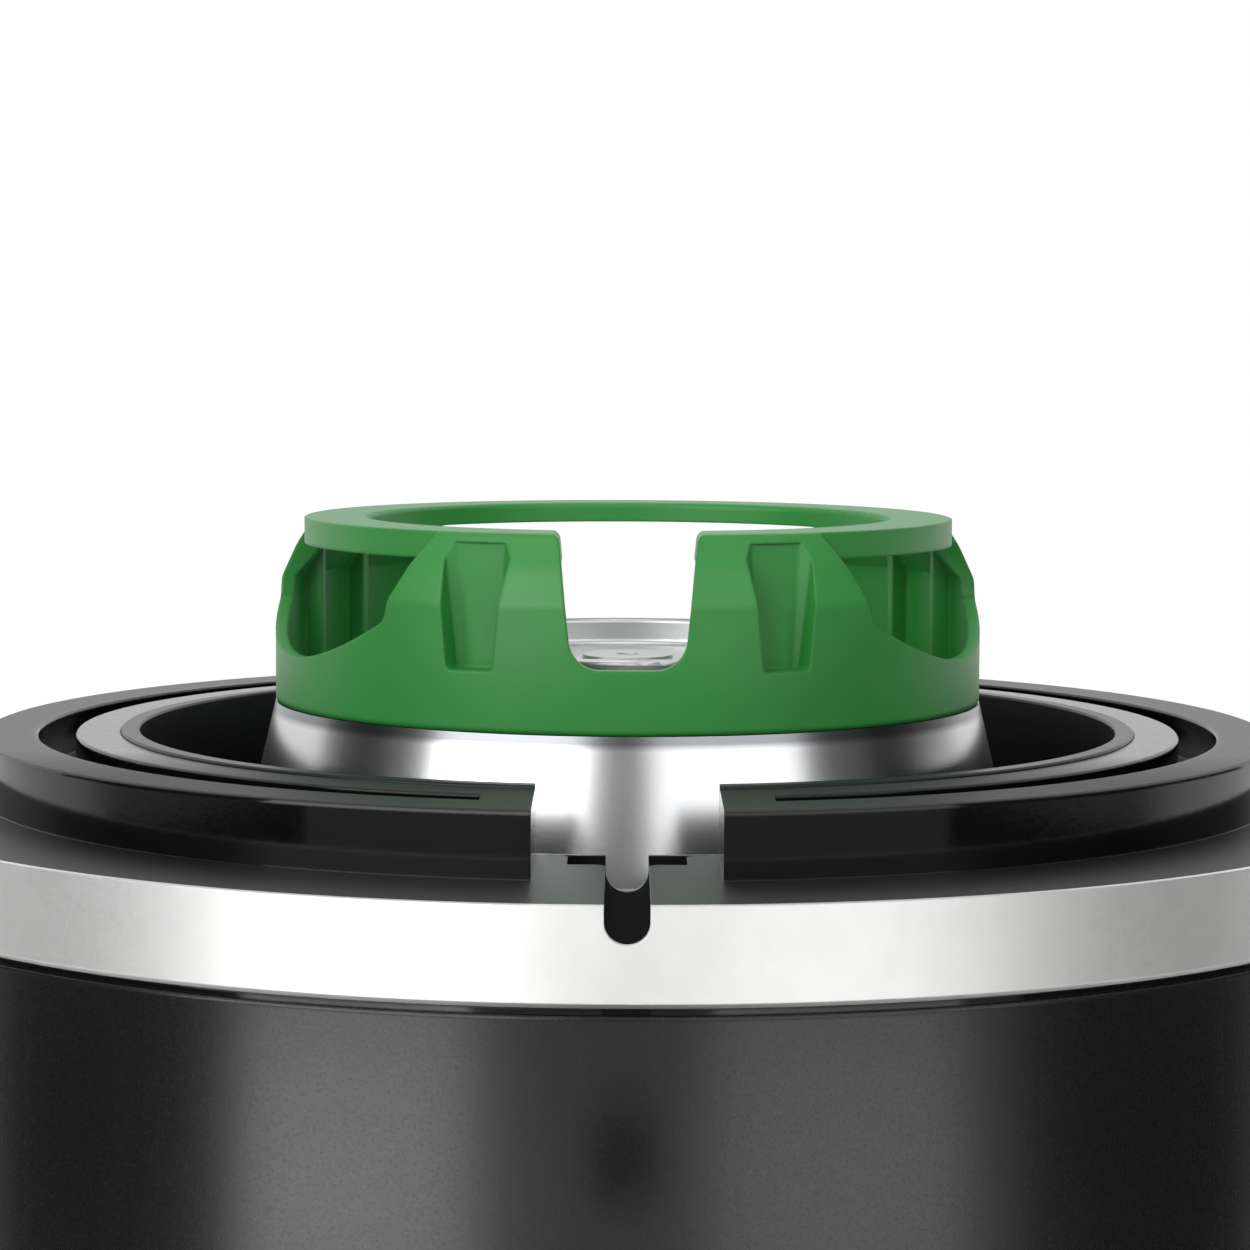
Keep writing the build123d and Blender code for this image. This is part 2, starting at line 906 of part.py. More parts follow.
def power_supply():
    x_span = around(supply_x, supply_width / 2)
    y_span = around(supply_y, supply_depth / 2)
    body = brick(x_span, y_span, (base_top, base_top + supply_height))
    for count in range(-vent_reach + 1, vent_reach):
        slot_y = around(supply_y + count * vent_pitch, vent_slot / 4)
        top_z = (base_top + supply_height - vent_slot, base_top + supply_height + overrun)
        body -= brick(around(supply_x, supply_width / 3), slot_y, top_z)
    return body


def control_board():
    low = base_top + standoff_height
    top = low + board_thickness
    board = brick(around(0, board_width / 2), around(board_y, board_depth / 2), (low, top))
    quarter = board_width / 4
    board += brick(around(0, chip_size / 2), around(board_y, chip_size / 2), (low, top + chip_height))
    relay_x = around(-quarter, relay_width / 2)
    board += brick(relay_x, around(board_y, chip_size / 2), (low, top + relay_height))
    board += pillar(can_radius, low, top + can_height, quarter, board_y)
    return board


def inlet_box(grow, front, rear):
    """Box of the power inlet, grown on all sides."""
    x_span = around(supply_x, inlet_width / 2 + grow)
    return brick(x_span, (front, rear), around(base_top + inlet_rise, inlet_height / 2 + grow))


def power_inlet():
    front = rear_limit - inlet_depth
    body = inlet_box(0, front, rear_limit)
    body += inlet_box(inlet_flange, rear_limit - inlet_flange_thickness, rear_limit)
    body -= inlet_box(-inlet_wall, front + inlet_floor, rear_limit + overrun)
    for x, z in inlet_pin_places():
        body -= brick(around(x, pin_width / 2), (front - overrun, rear_limit), around(z, pin_height / 2))
    return body


def inlet_pin_places():
    """Places of the three contact pins."""
    level = base_top + inlet_rise
    drop = pin_height / 2
    places = [(supply_x, level + drop)]
    for side in (-1, 1):
        places.append((supply_x + side * pin_spacing, level - drop))
    return places


def inlet_pins():
    front = rear_limit - inlet_depth
    pins = []
    for x, z in inlet_pin_places():
        pin_y = (front, front + inlet_floor + pin_length)
        pins.append(brick(around(x, pin_width / 2), pin_y, around(z, pin_height / 2)))
    return pins


def mains_lead():
    start = supply_y + supply_depth / 2
    end = rear_limit - inlet_depth
    return rod_y(lead_radius, start, end, supply_x, base_top + inlet_rise)


def temperature_sensor():
    y_span = (-liner_outer - sensor_depth, 0)
    body = brick(around(0, sensor_size / 2), y_span, around(chamber_floor + sensor_height, sensor_size / 2))
    return body - pillar(deck_inner, 0, rim_level)


# Air pump

motor_level = base_top + motor_axis_rise
head_end = pump_x - motor_length / 2
head_start = head_end - head_length
head_middle = (head_start + head_end) / 2
head_top = motor_level + head_size / 2


def air_pump_motor():
    body = rod_x(motor_radius, head_end, head_end + motor_length, pump_y, motor_level)
    return fillet(body.faces().sort_by(Axis.X)[-1].edges(), deck_edge)


def air_pump_head():
    half = head_size / 2
    body = brick((head_start, head_end), around(pump_y, half), (base_top, head_top))
    return body + pillar(barb_radius, head_top, head_top + barb_length, head_middle, pump_y)


def pump_bracket():
    x_span = around(pump_x, bracket_length / 2)
    block = brick(x_span, around(pump_y, bracket_width / 2), (base_top, motor_level))
    return block - rod_x(motor_radius + fit_gap, *around(pump_x, motor_length), pump_y, motor_level)


def air_hose():
    rise_x, rise_y = polar(hose_circle, hose_turn)
    bend_level = (head_top + barb_length + chassis_low) / 2
    points = [
        (head_middle, pump_y, head_top),
        (head_middle, pump_y, bend_level),
        (rise_x, rise_y, bend_level),
        (rise_x, rise_y, deck_under),
    ]
    path = FilletPolyline(*points, radius=hose_bend)
    section = Circle(hose_radius) - Circle(barb_radius + fit_gap)
    return sweep(Pos(*points[0]) * section, path)


def air_port():
    x, y = polar(hose_circle, hose_turn)
    flange_top = ledge_level + port_flange_height
    port = pillar(port_flange_radius, ledge_level, flange_top, x, y)
    port += pillar(barb_radius, deck_under - barb_length, flange_top, x, y)
    port += pillar(port_nipple_radius, flange_top, flange_top + port_nipple_height, x, y)
    return port - pillar(port_bore_radius, deck_under - barb_length - overrun, rim_level + overrun, x, y)


# Control panel

panel_face = -(shell_radius + panel_proud)
panel_middle = base_top + panel_low + panel_height / 2
plug_end = -(shell_inner - plug_depth)
panel_room = panel_face + panel_front_wall


def panel_plug(gap):
    """Part of the panel that passes through the shell."""
    x_span = around(0, panel_width / 2 - plug_margin + gap)
    return brick(x_span, (panel_face, plug_end), around(panel_middle, panel_height / 2 - plug_margin + gap))


def button_places():
    """Middles of the two push buttons."""
    return (-button_spacing / 2, button_spacing / 2)


def control_panel():
    panel_z = around(panel_middle, panel_height / 2)
    pod = brick(around(0, panel_width / 2), (panel_face, -chamber_radius), panel_z)
    pod = fillet(pod.faces().sort_by(Axis.Y)[0].edges(), panel_edge)
    pod -= pillar(shell_radius + fit_gap, 0, rim_level)
    edge_y = (panel_face, panel_face + panel_edge)
    pod += panel_plug(0) - brick(around(0, panel_width), edge_y, around(panel_middle, panel_width))
    room_x = around(0, panel_width / 2 - plug_margin - panel_wall)
    room_z = around(panel_middle, panel_height / 2 - plug_margin - panel_wall)
    pod -= brick(room_x, (panel_room, plug_end + overrun), room_z)
    window_y = (panel_face - overrun, panel_face + window_depth)
    pod -= brick(around(0, window_width / 2), window_y, window_span())
    for x in button_places():
        pod -= rod_y(button_radius + slide_gap, panel_face - overrun, panel_room + overrun, x, panel_middle)
    return pod


def window_span():
    """Height span of the display window."""
    return around(panel_middle, window_height / 2)


def display_window():
    grown = window_width / 2 - fit_gap
    z_span = around(panel_middle, window_height / 2 - fit_gap)
    return brick(around(0, grown), (panel_face, panel_face + window_depth), z_span)


def display_board():
    half_x = panel_width / 2 - plug_margin
    half_z = panel_height / 2 - plug_margin
    board = brick(around(0, half_x), (plug_end, plug_end + board_thickness), around(panel_middle, half_z))
    half = switch_size / 2
    for x in button_places():
        switch_y = (plug_end - switch_height, plug_end + board_thickness)
        board += brick(around(x, half), switch_y, around(panel_middle, half))
    return board


def push_button(x):
    """Round cap with a retaining flange and a stem that meets its switch."""
    cap = rod_y(button_radius, panel_face - button_proud, panel_room, x, panel_middle)
    cap = fillet(cap.faces().sort_by(Axis.Y)[0].edges(), deck_edge)
    flange_end = panel_room + button_flange_thickness
    cap += rod_y(button_radius + button_flange, panel_room, flange_end, x, panel_middle)
    stem_end = plug_end - switch_height - button_travel - slide_gap / 2
    return cap + rod_y(button_stem_radius, panel_room, stem_end, x, panel_middle)


def power_button():
    return push_button(button_places()[1])


def cooling_button():
    return push_button(button_places()[0])


# Tap

tap_top = band_low - tap_drop
tap_low = tap_top - tap_height
tap_front = -(shell_radius + tap_depth)
line_y = -(shell_radius + line_offset)
lever_y = -(shell_radius + lever_offset)
pin_level = tap_low + pin_rise
jaw_level = pin_level + arm_length
lever_back = lever_y + lever_thickness / 2
slot_back = lever_back + slide_gap * 2
jaw_tip = line_y + line_radius - jaw_nip
fork_end = lever_back + fork_room
jaw_front = lever_y - lever_thickness / 2


def tap_screw_levels():
    """Heights of the two screws that hold the tap from inside."""
    middle = (tap_top + tap_low) / 2
    return (middle - tap_screw_rise, middle + tap_screw_rise)


def spring_box():
    """Pocket for the return spring, beside the lever on its pin."""
    half = spring_radius + spring_wire + spring_room
    start = lever_width / 2 + slide_gap
    length = spring_turns * spring_pitch + spring_wire + spring_room
    return brick((0, start + length), around(lever_y, half), around(pin_level, half))


def tap_body():
    x_span = around(0, tap_width / 2)
    body = brick(x_span, (tap_front, -chamber_radius), (tap_low, tap_top))
    front = body.faces().sort_by(Axis.Y)[0]
    body = fillet(front.edges().filter_by(Axis.Z), tap_corner)
    body = fillet(body.faces().sort_by(Axis.Y)[0].edges().filter_by(Axis.X), tap_edge)
    body -= pillar(shell_radius + fit_gap, 0, rim_level)
    body -= pillar(line_radius, tap_low - overrun, tap_top + overrun, 0, line_y)
    jaw_x = around(0, jaw_width / 2 + slide_gap)
    jaw_y = (jaw_front - jaw_travel - slide_gap, jaw_tip + jaw_nip)
    jaw_z = around(jaw_level, jaw_height / 2 + slide_gap)
    body -= brick(jaw_x, jaw_y, jaw_z)
    slot_x = around(0, lever_width / 2 + slide_gap)
    slot_z = (tap_low + pin_rise / 3, tap_top + overrun)
    body -= brick(slot_x, (tap_front - overrun, slot_back), slot_z)
    body -= spring_box()
    body -= rod_x(lever_pin_radius + run_gap, *around(0, tap_width), lever_y, pin_level)
    for level in tap_screw_levels():
        body -= rod_y(screw_radius + run_gap, -shell_radius - screw_bite, -chamber_radius, 0, level)
    return body


def tap_screws():
    screws = []
    for level in tap_screw_levels():
        head_y = around(-shell_inner + fit_gap + screw_head_height / 2, screw_head_height / 2)
        screw = rod_y(screw_head_radius, *head_y, 0, level)
        screw += rod_y(screw_radius, -shell_radius - screw_bite + run_gap, head_y[1], 0, level)
        screws.append(screw)
    return screws


def spout():
    points = [
        (spout_bore, tap_low - spout_length),
        (spout_radius - tap_edge / 2, tap_low - spout_length),
        (spout_radius, tap_low - spout_length / 2),
        (spout_radius + tap_edge, tap_low),
        (spout_bore, tap_low),
    ]
    return Pos(0, line_y, 0) * turned(points, [0, 0, 0, 0, 0])


def lever_outline():
    """Side view of the lever: round foot, straight arm and a handle leaning forward."""
    half = lever_thickness / 2
    bend = pin_level + lever_length
    points = [
        (lever_y - half, pin_level - half),
        (lever_y + half, pin_level - half),
        (lever_y + half, bend),
        (lever_y + half - handle_run, bend + handle_rise),
        (lever_y - half - handle_run, bend + handle_rise),
        (lever_y - half, bend),
    ]
    soft = half - fit_gap
    return outline(points, [soft, soft, lever_thickness, 0, 0, lever_thickness])


def tap_lever():
    lever = Pos(-lever_width / 2, 0, 0) * extrude(Plane.YZ * lever_outline(), lever_width)
    lever -= rod_x(lever_pin_radius + run_gap, *around(0, lever_width), lever_y, pin_level)
    lever -= rod_x(drive_pin_radius + run_gap, *around(0, lever_width), lever_y, jaw_level)
    return lever


def lever_grip():
    end_y = lever_y - handle_run
    end_z = pin_level + lever_length + handle_rise
    grip = Pos(0, end_y, end_z) * Rot(0, 90, 0) * Cylinder(grip_radius, grip_length)
    grip = fillet(grip.edges().filter_by(GeomType.CIRCLE), tap_edge)
    return grip - Pos(-lever_width / 2, 0, 0) * extrude(Plane.YZ * lever_outline(), lever_width)


def lever_pin():
    return rod_x(lever_pin_radius, *around(0, tap_width / 2 - pin_inset), lever_y, pin_level)


def drive_pin():
    return rod_x(drive_pin_radius, *around(0, jaw_width / 2 - pin_inset / 2), lever_y, jaw_level)


def pinch_jaw():
    half_x = jaw_width / 2
    z_span = around(jaw_level, jaw_height / 2)
    jaw = brick(around(0, half_x), (jaw_front, jaw_tip), z_span)
    jaw = fillet(jaw.faces().sort_by(Axis.Y)[-1].edges().filter_by(Axis.X), jaw_tip_radius)
    fork_x = around(0, lever_width / 2 + slide_gap)
    jaw -= brick(fork_x, (jaw_front - overrun, fork_end), around(jaw_level, jaw_height))
    slot_y = around(lever_y, drive_pin_radius + slide_gap)
    return jaw - brick(around(0, jaw_width), slot_y, around(jaw_level, jaw_height / 3))


def lever_spring():
    start = lever_width / 2 + slide_gap + spring_room
    wound = coil(spring_radius, spring_pitch, spring_turns, spring_wire)
    return Pos(start, lever_y, pin_level) * Rot(0, 90, 0) * wound


# Tray


def drip_tray():
    top = base_top + tray_height
    tray = upright(tray_outline(0), base_top, top)
    tray -= upright(tray_outline(tray_wall), base_top + tray_floor, top + overrun)
    tray -= upright(tray_outline(grille_lip), top - grille_thickness, top + overrun)
    for side in (-1, 1):
        rail_x = around(side * rail_spacing / 2, rail_width / 2 + slide_gap)
        rail_y = (front_limit + tray_corner - slide_gap, 0)
        tray -= brick(rail_x, rail_y, (base_low, base_top + rail_height + slide_gap))
    return tray


def drip_grille():
    top = base_top + tray_height
    plate = upright(tray_outline(grille_lip + slide_gap), top - grille_thickness, top)
    length = tray_width - 2 * slot_margin
    for count in range(slot_rows):
        y = front_limit + slot_margin + slot_pitch * count
        slots = Pos(0, y, 0) * SlotOverall(length, slot_width)
        plate -= upright(slots, base_top, top + overrun)
    return plate


# Keg

keg_radius = chamber_radius - keg_play
collar_seat = chamber_floor + keg_side + keg_shoulder + keg_neck
neck_low_radius = collar_radius + keg_neck_flare
chime_top = collar_seat + chime_rise
dish_level = collar_seat + dish_rise
collar_top = collar_seat + collar_height


def keg_shell_outline(inset):
    """Side of the keg from its foot to the collar seat, moved inwards by the inset."""
    side_top = chamber_floor + keg_side
    neck_low = side_top + keg_shoulder
    lean = keg_neck_flare / keg_neck
    start = (keg_radius - inset, side_top)
    end = (neck_low_radius - inset, neck_low)
    pull = keg_shoulder * shoulder_share
    first_pull = (start[0], start[1] + pull)
    second_pull = (end[0] + lean * pull, end[1] - pull)
    return Bezier(start, first_pull, second_pull, end)


def keg_body():
    foot = chamber_floor
    ring_out = keg_radius - keg_corner
    ring_in = ring_out - keg_foot_width
    belly = foot + keg_foot_rise
    shoulder = keg_shell_outline(0)
    side = FilletPolyline(
        (0, belly),
        (ring_in, belly),
        (ring_in, foot),
        (ring_out, foot),
        (keg_radius, foot + keg_corner),
        shoulder @ 0,
        radius=[keg_wall, 0, 0, keg_corner],
    )
    chime_in = chime_radius - chime_width
    crown = FilletPolyline(
        shoulder @ 1,
        (collar_radius, collar_seat),
        (crown_radius, collar_seat),
        (crown_radius, collar_seat + crown_rise),
        (chime_radius, collar_seat + crown_rise),
        (chime_radius, chime_top),
        (chime_in, chime_top),
        (chime_in, dish_level),
        (valve_bore, dish_level),
        (0, dish_level),
        radius=[0, 0, crown_rise / 2, crown_rise / 2, chime_width / 3, chime_width / 3, chime_width / 2, 0],
    )
    closing = Line(crown @ 1, side @ 0)
    solid = revolve(Plane.XZ * make_face([side, shoulder, crown, closing]), Axis.Z)
    solid -= keg_room()
    return solid - pillar(valve_bore, foot + keg_side, chime_top)


def keg_room():
    """Hollow inside of the keg."""
    inner = keg_shell_outline(keg_wall)
    low = chamber_floor + keg_foot_rise + keg_wall
    top = collar_seat - keg_wall
    corner = keg_corner - keg_wall
    top_radius = collar_radius - 2 * keg_wall
    lower = FilletPolyline((0, low), (keg_radius - keg_wall, low), inner @ 0, radius=[corner])
    upper = Polyline(inner @ 1, (top_radius, top), (0, top))
    closing = Line(upper @ 1, lower @ 0)
    return revolve(Plane.XZ * make_face([lower, inner, upper, closing]), Axis.Z)


def collar_wall_form():
    """Turned collar before its windows are cut."""
    crease = collar_seat + collar_crease
    ring_low = collar_top - ring_thickness
    snap = crown_radius + fit_gap
    middle = (crease + collar_top) / 2
    lean_out = (collar_radius + collar_top_radius) / 2 + collar_bulge
    points = [
        (snap, collar_seat),
        (collar_radius, collar_seat),
        (collar_radius, crease),
        (lean_out, middle),
        (collar_top_radius, collar_top),
        (ring_inner_radius, collar_top),
        (ring_inner_radius, ring_low),
        (collar_top_radius - collar_wall, ring_low),
        (collar_radius - collar_wall, crease),
        (collar_radius - collar_wall, collar_seat + crown_rise),
        (snap, collar_seat + crown_rise),
    ]
    soft = collar_height / 4
    edge = collar_edge
    return turned(points, [0, edge, crease_round, soft, edge, edge, edge, 0, 0, 0, 0])


def notch_cut():
    """Front notch that lets the beer line out of the collar."""
    floor = collar_seat + notch_floor
    above = collar_top + overrun
    top_half = notch_top / 2
    low_half = notch_bottom / 2
    wide = top_half + 2 * notch_round
    shoulder = collar_top + fit_gap
    points = [
        (-wide, above),
        (-wide, shoulder),
        (-top_half, shoulder),
        (-low_half, floor),
        (low_half, floor),
        (top_half, shoulder),
        (wide, shoulder),
        (wide, above),
    ]
    radii = [0, 0, notch_round, notch_corner, notch_corner, notch_round, 0, 0]
    face = Plane.XZ * outline(points, radii)
    return extrude(face, collar_radius + overrun)


def grip_cut(side):
    """Hand window in one side of the collar, with the ring left as a bar above it."""
    floor = collar_seat + grip_floor
    bend = collar_seat + grip_bend_height
    ring_low = collar_top - ring_thickness
    above = collar_top + overrun
    low_half = grip_bend_width / 2
    lean = (grip_top_width - grip_bend_width) / (ring_low - bend) / 2
    top_half = low_half + lean * (above - bend)
    walls = Polyline((low_half, bend), (top_half, above), (-top_half, above), (-low_half, bend))
    scallop = ThreePointArc((-low_half, bend), (0, floor), (low_half, bend))
    face = make_face([walls, scallop])
    corners = [corner for corner in face.vertices() if abs(corner.Y - bend) < fit_gap]
    window = Plane.XZ * fillet(corners, grip_bend)
    cut = swung(grip_turn) * extrude(window, collar_radius + overrun)
    cut -= pillar(collar_top_radius, ring_low, above + overrun)
    return cut if side > 0 else mirror(cut, about=Plane.YZ)


def back_cut():
    """Wide window at the rear of the collar."""
    half = collar_radius * sin(radians(back_turn))
    floor = collar_seat + back_floor
    top = collar_top - back_ring_thickness
    points = [(-half, top), (-half, floor), (half, floor), (half, top)]
    face = Plane.XZ * outline(points, [crease_round, back_corner, back_corner, crease_round])
    return swung(180) * extrude(face, collar_radius + overrun)


def pocket_face(grow):
    """Front view of a pocket, wider at the top and closed there by a lip."""
    low = collar_seat + pocket_low - grow
    top = collar_top - pocket_lip + grow
    low_half = pocket_bottom / 2 + grow
    lean = (pocket_top - pocket_bottom) / (collar_height - pocket_low) / 2
    top_half = low_half + lean * (top - low)
    points = [(-low_half, low), (low_half, low), (top_half, top), (-top_half, top)]
    return Plane.XZ * outline(points, [collar_edge, collar_edge, collar_edge, collar_edge])


def pocket_cut():
    """Finger recess with a flat floor, a slanted facet on each side of it and upright walls."""
    start = Pos(0, -pocket_floor_radius, 0) * pocket_face(0)
    recess = extrude(start, collar_radius - pocket_floor_radius + overrun)
    low = collar_seat + pocket_low
    height = collar_height - pocket_low - pocket_lip
    rise = pocket_top * tan(radians(pocket_facet))
    widening = (pocket_floor_top - pocket_floor_low) / 2
    tilt = degrees(atan(widening / height))
    for side in (-1, 1):
        reach = side * pocket_top
        facet = Polyline((0, 0), (reach, -rise), (reach, overrun), (0, overrun), close=True)
        prism = upright(make_face(facet), -height, 2 * height)
        foot = Pos(side * pocket_floor_low / 2, -pocket_floor_radius, low)
        recess -= foot * Rot(0, side * tilt, 0) * prism
    return recess


def pocket_back():
    """Thicker wall behind a pocket."""
    start = Pos(0, -pocket_floor_radius + collar_wall, 0) * pocket_face(collar_wall)
    block = extrude(start, collar_radius - pocket_floor_radius + collar_wall)
    return block & collar_core()


def collar_core():
    """Everything inside the collar's outer skin, below its top."""
    crease = collar_seat + collar_crease
    inset = collar_wall / 2
    points = [
        (0, collar_seat + crown_rise),
        (collar_radius - inset, collar_seat + crown_rise),
        (collar_radius - inset, crease),
        (collar_top_radius - inset, collar_top - inset),
        (0, collar_top - inset),
    ]
    return turned(points, [0, 0, 0, 0, 0])


def collar_ribs():
    """Upright stiffeners inside the side posts."""
    low = collar_seat + crown_rise
    rib_y = (-collar_radius, -(collar_radius - collar_wall - rib_depth))
    rib = brick(around(0, rib_thickness / 2), rib_y, (low, collar_top - ring_thickness / 2)) & collar_core()
    ribs = []
    for turn in rib_turns:
        ribs += [swung(turn) * rib, swung(-turn) * rib]
    return ribs


def keg_collar():
    collar = collar_wall_form() - notch_cut()
    for turn in (-pocket_turn, pocket_turn):
        collar += swung(turn) * pocket_back()
    for rib in collar_ribs():
        collar += rib
    for side in (-1, 1):
        collar -= grip_cut(side) - pillar(ring_inner_radius, collar_seat, collar_top)
        collar -= swung(side * pocket_turn) * pocket_cut()
    return collar - (back_cut() - pillar(ring_inner_radius, collar_seat, collar_top))


valve_top = dish_level + valve_flange_height + valve_boss_height
cage_low = dish_level - cage_depth
poppet_top = valve_top - poppet_drop
seat_level = dish_level - valve_flange_height


def keg_valve():
    points = [
        (valve_throat, seat_level),
        (valve_body_radius, seat_level),
        (valve_body_radius, dish_level),
        (valve_flange_radius, dish_level),
        (valve_flange_radius, dish_level + valve_flange_height),
        (valve_boss_radius, dish_level + valve_flange_height),
        (valve_boss_radius, valve_top),
        (valve_throat, valve_top),
    ]
    soft = valve_flange_height / 3
    valve = turned(points, [0, 0, 0, 0, soft, 0, soft, soft])
    cage = pillar(cage_radius, cage_low, seat_level)
    cage -= pillar(cage_radius - cage_wall, cage_low + cage_wall, seat_level)
    valve += cage - pillar(spear_bore, cage_low - overrun, seat_level)
    return valve


def valve_poppet():
    head_top = seat_level - slide_gap
    poppet = pillar(poppet_head_radius, head_top - poppet_head_height, head_top)
    poppet += pillar(poppet_radius, head_top - poppet_head_height, poppet_top)
    return poppet


def valve_spring():
    head_low = seat_level - slide_gap - poppet_head_height
    room = head_low - cage_low - cage_wall - valve_spring_wire - slide_gap
    wound = coil(valve_spring_radius, room / valve_spring_turns, valve_spring_turns, valve_spring_wire)
    return Pos(0, 0, cage_low + cage_wall + valve_spring_wire / 2 + slide_gap / 2) * wound


def keg_spear():
    low = chamber_floor + keg_foot_rise + keg_wall + spear_clear
    return pillar(spear_radius, low, cage_low) - pillar(spear_bore, low - overrun, cage_low + overrun)


nodes = [
    base_plate,
    rubber_feet,
    base_screws,
    chassis_deck,
    chassis_screws,
    outer_shell,
    rear_cover,
    top_deck,
    trim_band,
    chamber_liner,
    insulation_foam,
    cold_block,
    peltier_module,
    heat_sink,
    heat_sink_screws,
    fan_frame,
    fan_rotor,
    fan_screws,
    power_supply,
    control_board,
    power_inlet,
    inlet_pins,
    mains_lead,
    temperature_sensor,
    air_pump_motor,
    air_pump_head,
    pump_bracket,
    air_hose,
    air_port,
    control_panel,
    display_window,
    display_board,
    power_button,
    cooling_button,
    tap_body,
    tap_screws,
    spout,
    tap_lever,
    lever_grip,
    lever_pin,
    drive_pin,
    pinch_jaw,
    lever_spring,
    drip_tray,
    drip_grille,
    keg_body,
    keg_collar,
    keg_valve,
    valve_poppet,
    valve_spring,
    keg_spear,
]

os.makedirs("parts", exist_ok=True)
for make in nodes:
    made = make()
    solids = made if isinstance(made, list) else made.solids()
    flat = [piece for item in solids for piece in item.solids()]
    shape = flat[0] if len(flat) == 1 else Compound(children=flat)
    export_step(shape, "parts/" + make.__name__ + ".step")
    volume = round(sum(piece.volume for piece in flat))
    print(make.__name__, len(flat), volume, all(piece.is_valid for piece in flat))
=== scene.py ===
# %% [markdown]
# # A draft beer dispenser in a plain photo studio
# The machine is a black drum with a metal keg standing in its cold chamber, seen with its lid taken off.
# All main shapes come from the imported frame, in metres, so a piece is already where it belongs.
# This lesson gives each piece the finish of its real material, adds the small repeated details,
# and then sets up floor, light and camera.

# %% Load the frame
import math

import bpy
from mathutils import Matrix, Vector


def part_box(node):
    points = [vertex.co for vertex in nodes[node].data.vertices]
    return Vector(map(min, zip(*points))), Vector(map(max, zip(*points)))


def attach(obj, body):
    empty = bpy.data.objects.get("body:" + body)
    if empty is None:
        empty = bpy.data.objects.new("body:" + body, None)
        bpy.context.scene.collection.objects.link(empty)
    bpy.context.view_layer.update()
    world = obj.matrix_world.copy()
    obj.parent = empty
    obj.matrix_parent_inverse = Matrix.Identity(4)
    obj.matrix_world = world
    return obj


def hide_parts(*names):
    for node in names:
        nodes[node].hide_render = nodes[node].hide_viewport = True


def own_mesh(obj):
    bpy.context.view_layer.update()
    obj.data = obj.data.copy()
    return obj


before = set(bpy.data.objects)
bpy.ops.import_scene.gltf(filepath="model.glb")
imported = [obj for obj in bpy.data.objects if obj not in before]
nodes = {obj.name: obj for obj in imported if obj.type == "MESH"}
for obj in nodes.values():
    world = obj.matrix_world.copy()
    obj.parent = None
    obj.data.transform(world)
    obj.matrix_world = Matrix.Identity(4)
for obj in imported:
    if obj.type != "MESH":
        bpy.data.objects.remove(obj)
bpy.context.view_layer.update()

# %% [markdown]
# Colours are written as they look on a screen, in sRGB hex, and Blender works with linear light.
# One function turns the first into the second.
# A second function adds one shader or geometry node with its settings and its links,
# so that each tree below reads as a list of steps from the pattern to the surface.

# %% Colour, pattern size and node helpers
def colour(text):
    """Linear red, green, blue and alpha of an sRGB hex value."""
    parts = [int(text[place:place + 2], 16) / 255 for place in (1, 3, 5)]
    linear = [part / 12.92 if part <= 0.04045 else ((part + 0.055) / 1.055) ** 2.4 for part in parts]
    return (*linear, 1.0)


def per_mm(size):
    """Pattern scale for features of that many millimetres, since coordinates are in metres."""
    return 1000 / size


def add(tree, kind, sockets=None, **settings):
    """Adds one node, with its settings first and then its sockets, each a value or a link."""
    node = tree.nodes.new(kind)
    for name, value in settings.items():
        setattr(node, name, value)
    for key, value in (sockets or {}).items():
        if isinstance(value, bpy.types.NodeSocket):
            tree.links.new(value, node.inputs[key])
        else:
            node.inputs[key].default_value = value
    return node


def start_finish(name):
    """A new material with its shader and the place on the piece, in metres."""
    material = bpy.data.materials.new(name)
    material.use_nodes = True
    tree = material.node_tree
    place = add(tree, "ShaderNodeTexCoord").outputs["Object"]
    return material, tree, tree.nodes["Principled BSDF"], place


def dress(material, *names):
    """Gives CAD pieces their finish."""
    for name in names:
        piece = nodes[name]
        if not piece.material_slots:
            piece.data.materials.append(None)
        for holder in piece.material_slots:
            holder.material = material
    print(material.name, "on", ", ".join(names))


# %% [markdown]
# Most pieces here are moulded, cast or painted, and their surface differs only in colour, gloss and grain.
# One function makes them all: soft clouds of two close colours, a fine grain that changes the gloss,
# and a slight relief from the same grain. Real edges are never sharp,
# so a Bevel node rounds the light on them.
# The alternative, a bevel on each mesh, would need clean faces, and CAD triangles are not.

# %% A finish with grain
def grained(name, dark, light, cloud, grain, rough, spread, depth, edge, sockets):
    """Two close colours in clouds, with gloss and relief from a grain; sizes in millimetres."""
    material, tree, shader, place = start_finish(name)
    clouds = add(tree, "ShaderNodeTexNoise", {"Vector": place, "Scale": per_mm(cloud), "Detail": 3.0})
    pits = add(tree, "ShaderNodeTexNoise", {"Vector": place, "Scale": per_mm(grain), "Detail": 1.0})
    tint = add(
        tree, "ShaderNodeMix",
        {0: clouds.outputs[0], 6: colour(dark), 7: colour(light)}, data_type="RGBA",
    )
    gloss = add(
        tree, "ShaderNodeMapRange",
        {"Value": pits.outputs[0], "To Min": rough - spread, "To Max": rough + spread},
    )
    rounded = add(tree, "ShaderNodeBevel", {"Radius": edge / 1000}, samples=4)
    relief = add(
        tree, "ShaderNodeBump",
        {"Height": pits.outputs[0], "Distance": depth / 1000, "Normal": rounded.outputs[0]},
    )
    tree.links.new(tint.outputs[2], shader.inputs["Base Color"])
    tree.links.new(gloss.outputs[0], shader.inputs["Roughness"])
    tree.links.new(relief.outputs[0], shader.inputs["Normal"])
    for socket, value in sockets.items():
        shader.inputs[socket].default_value = value
    return material


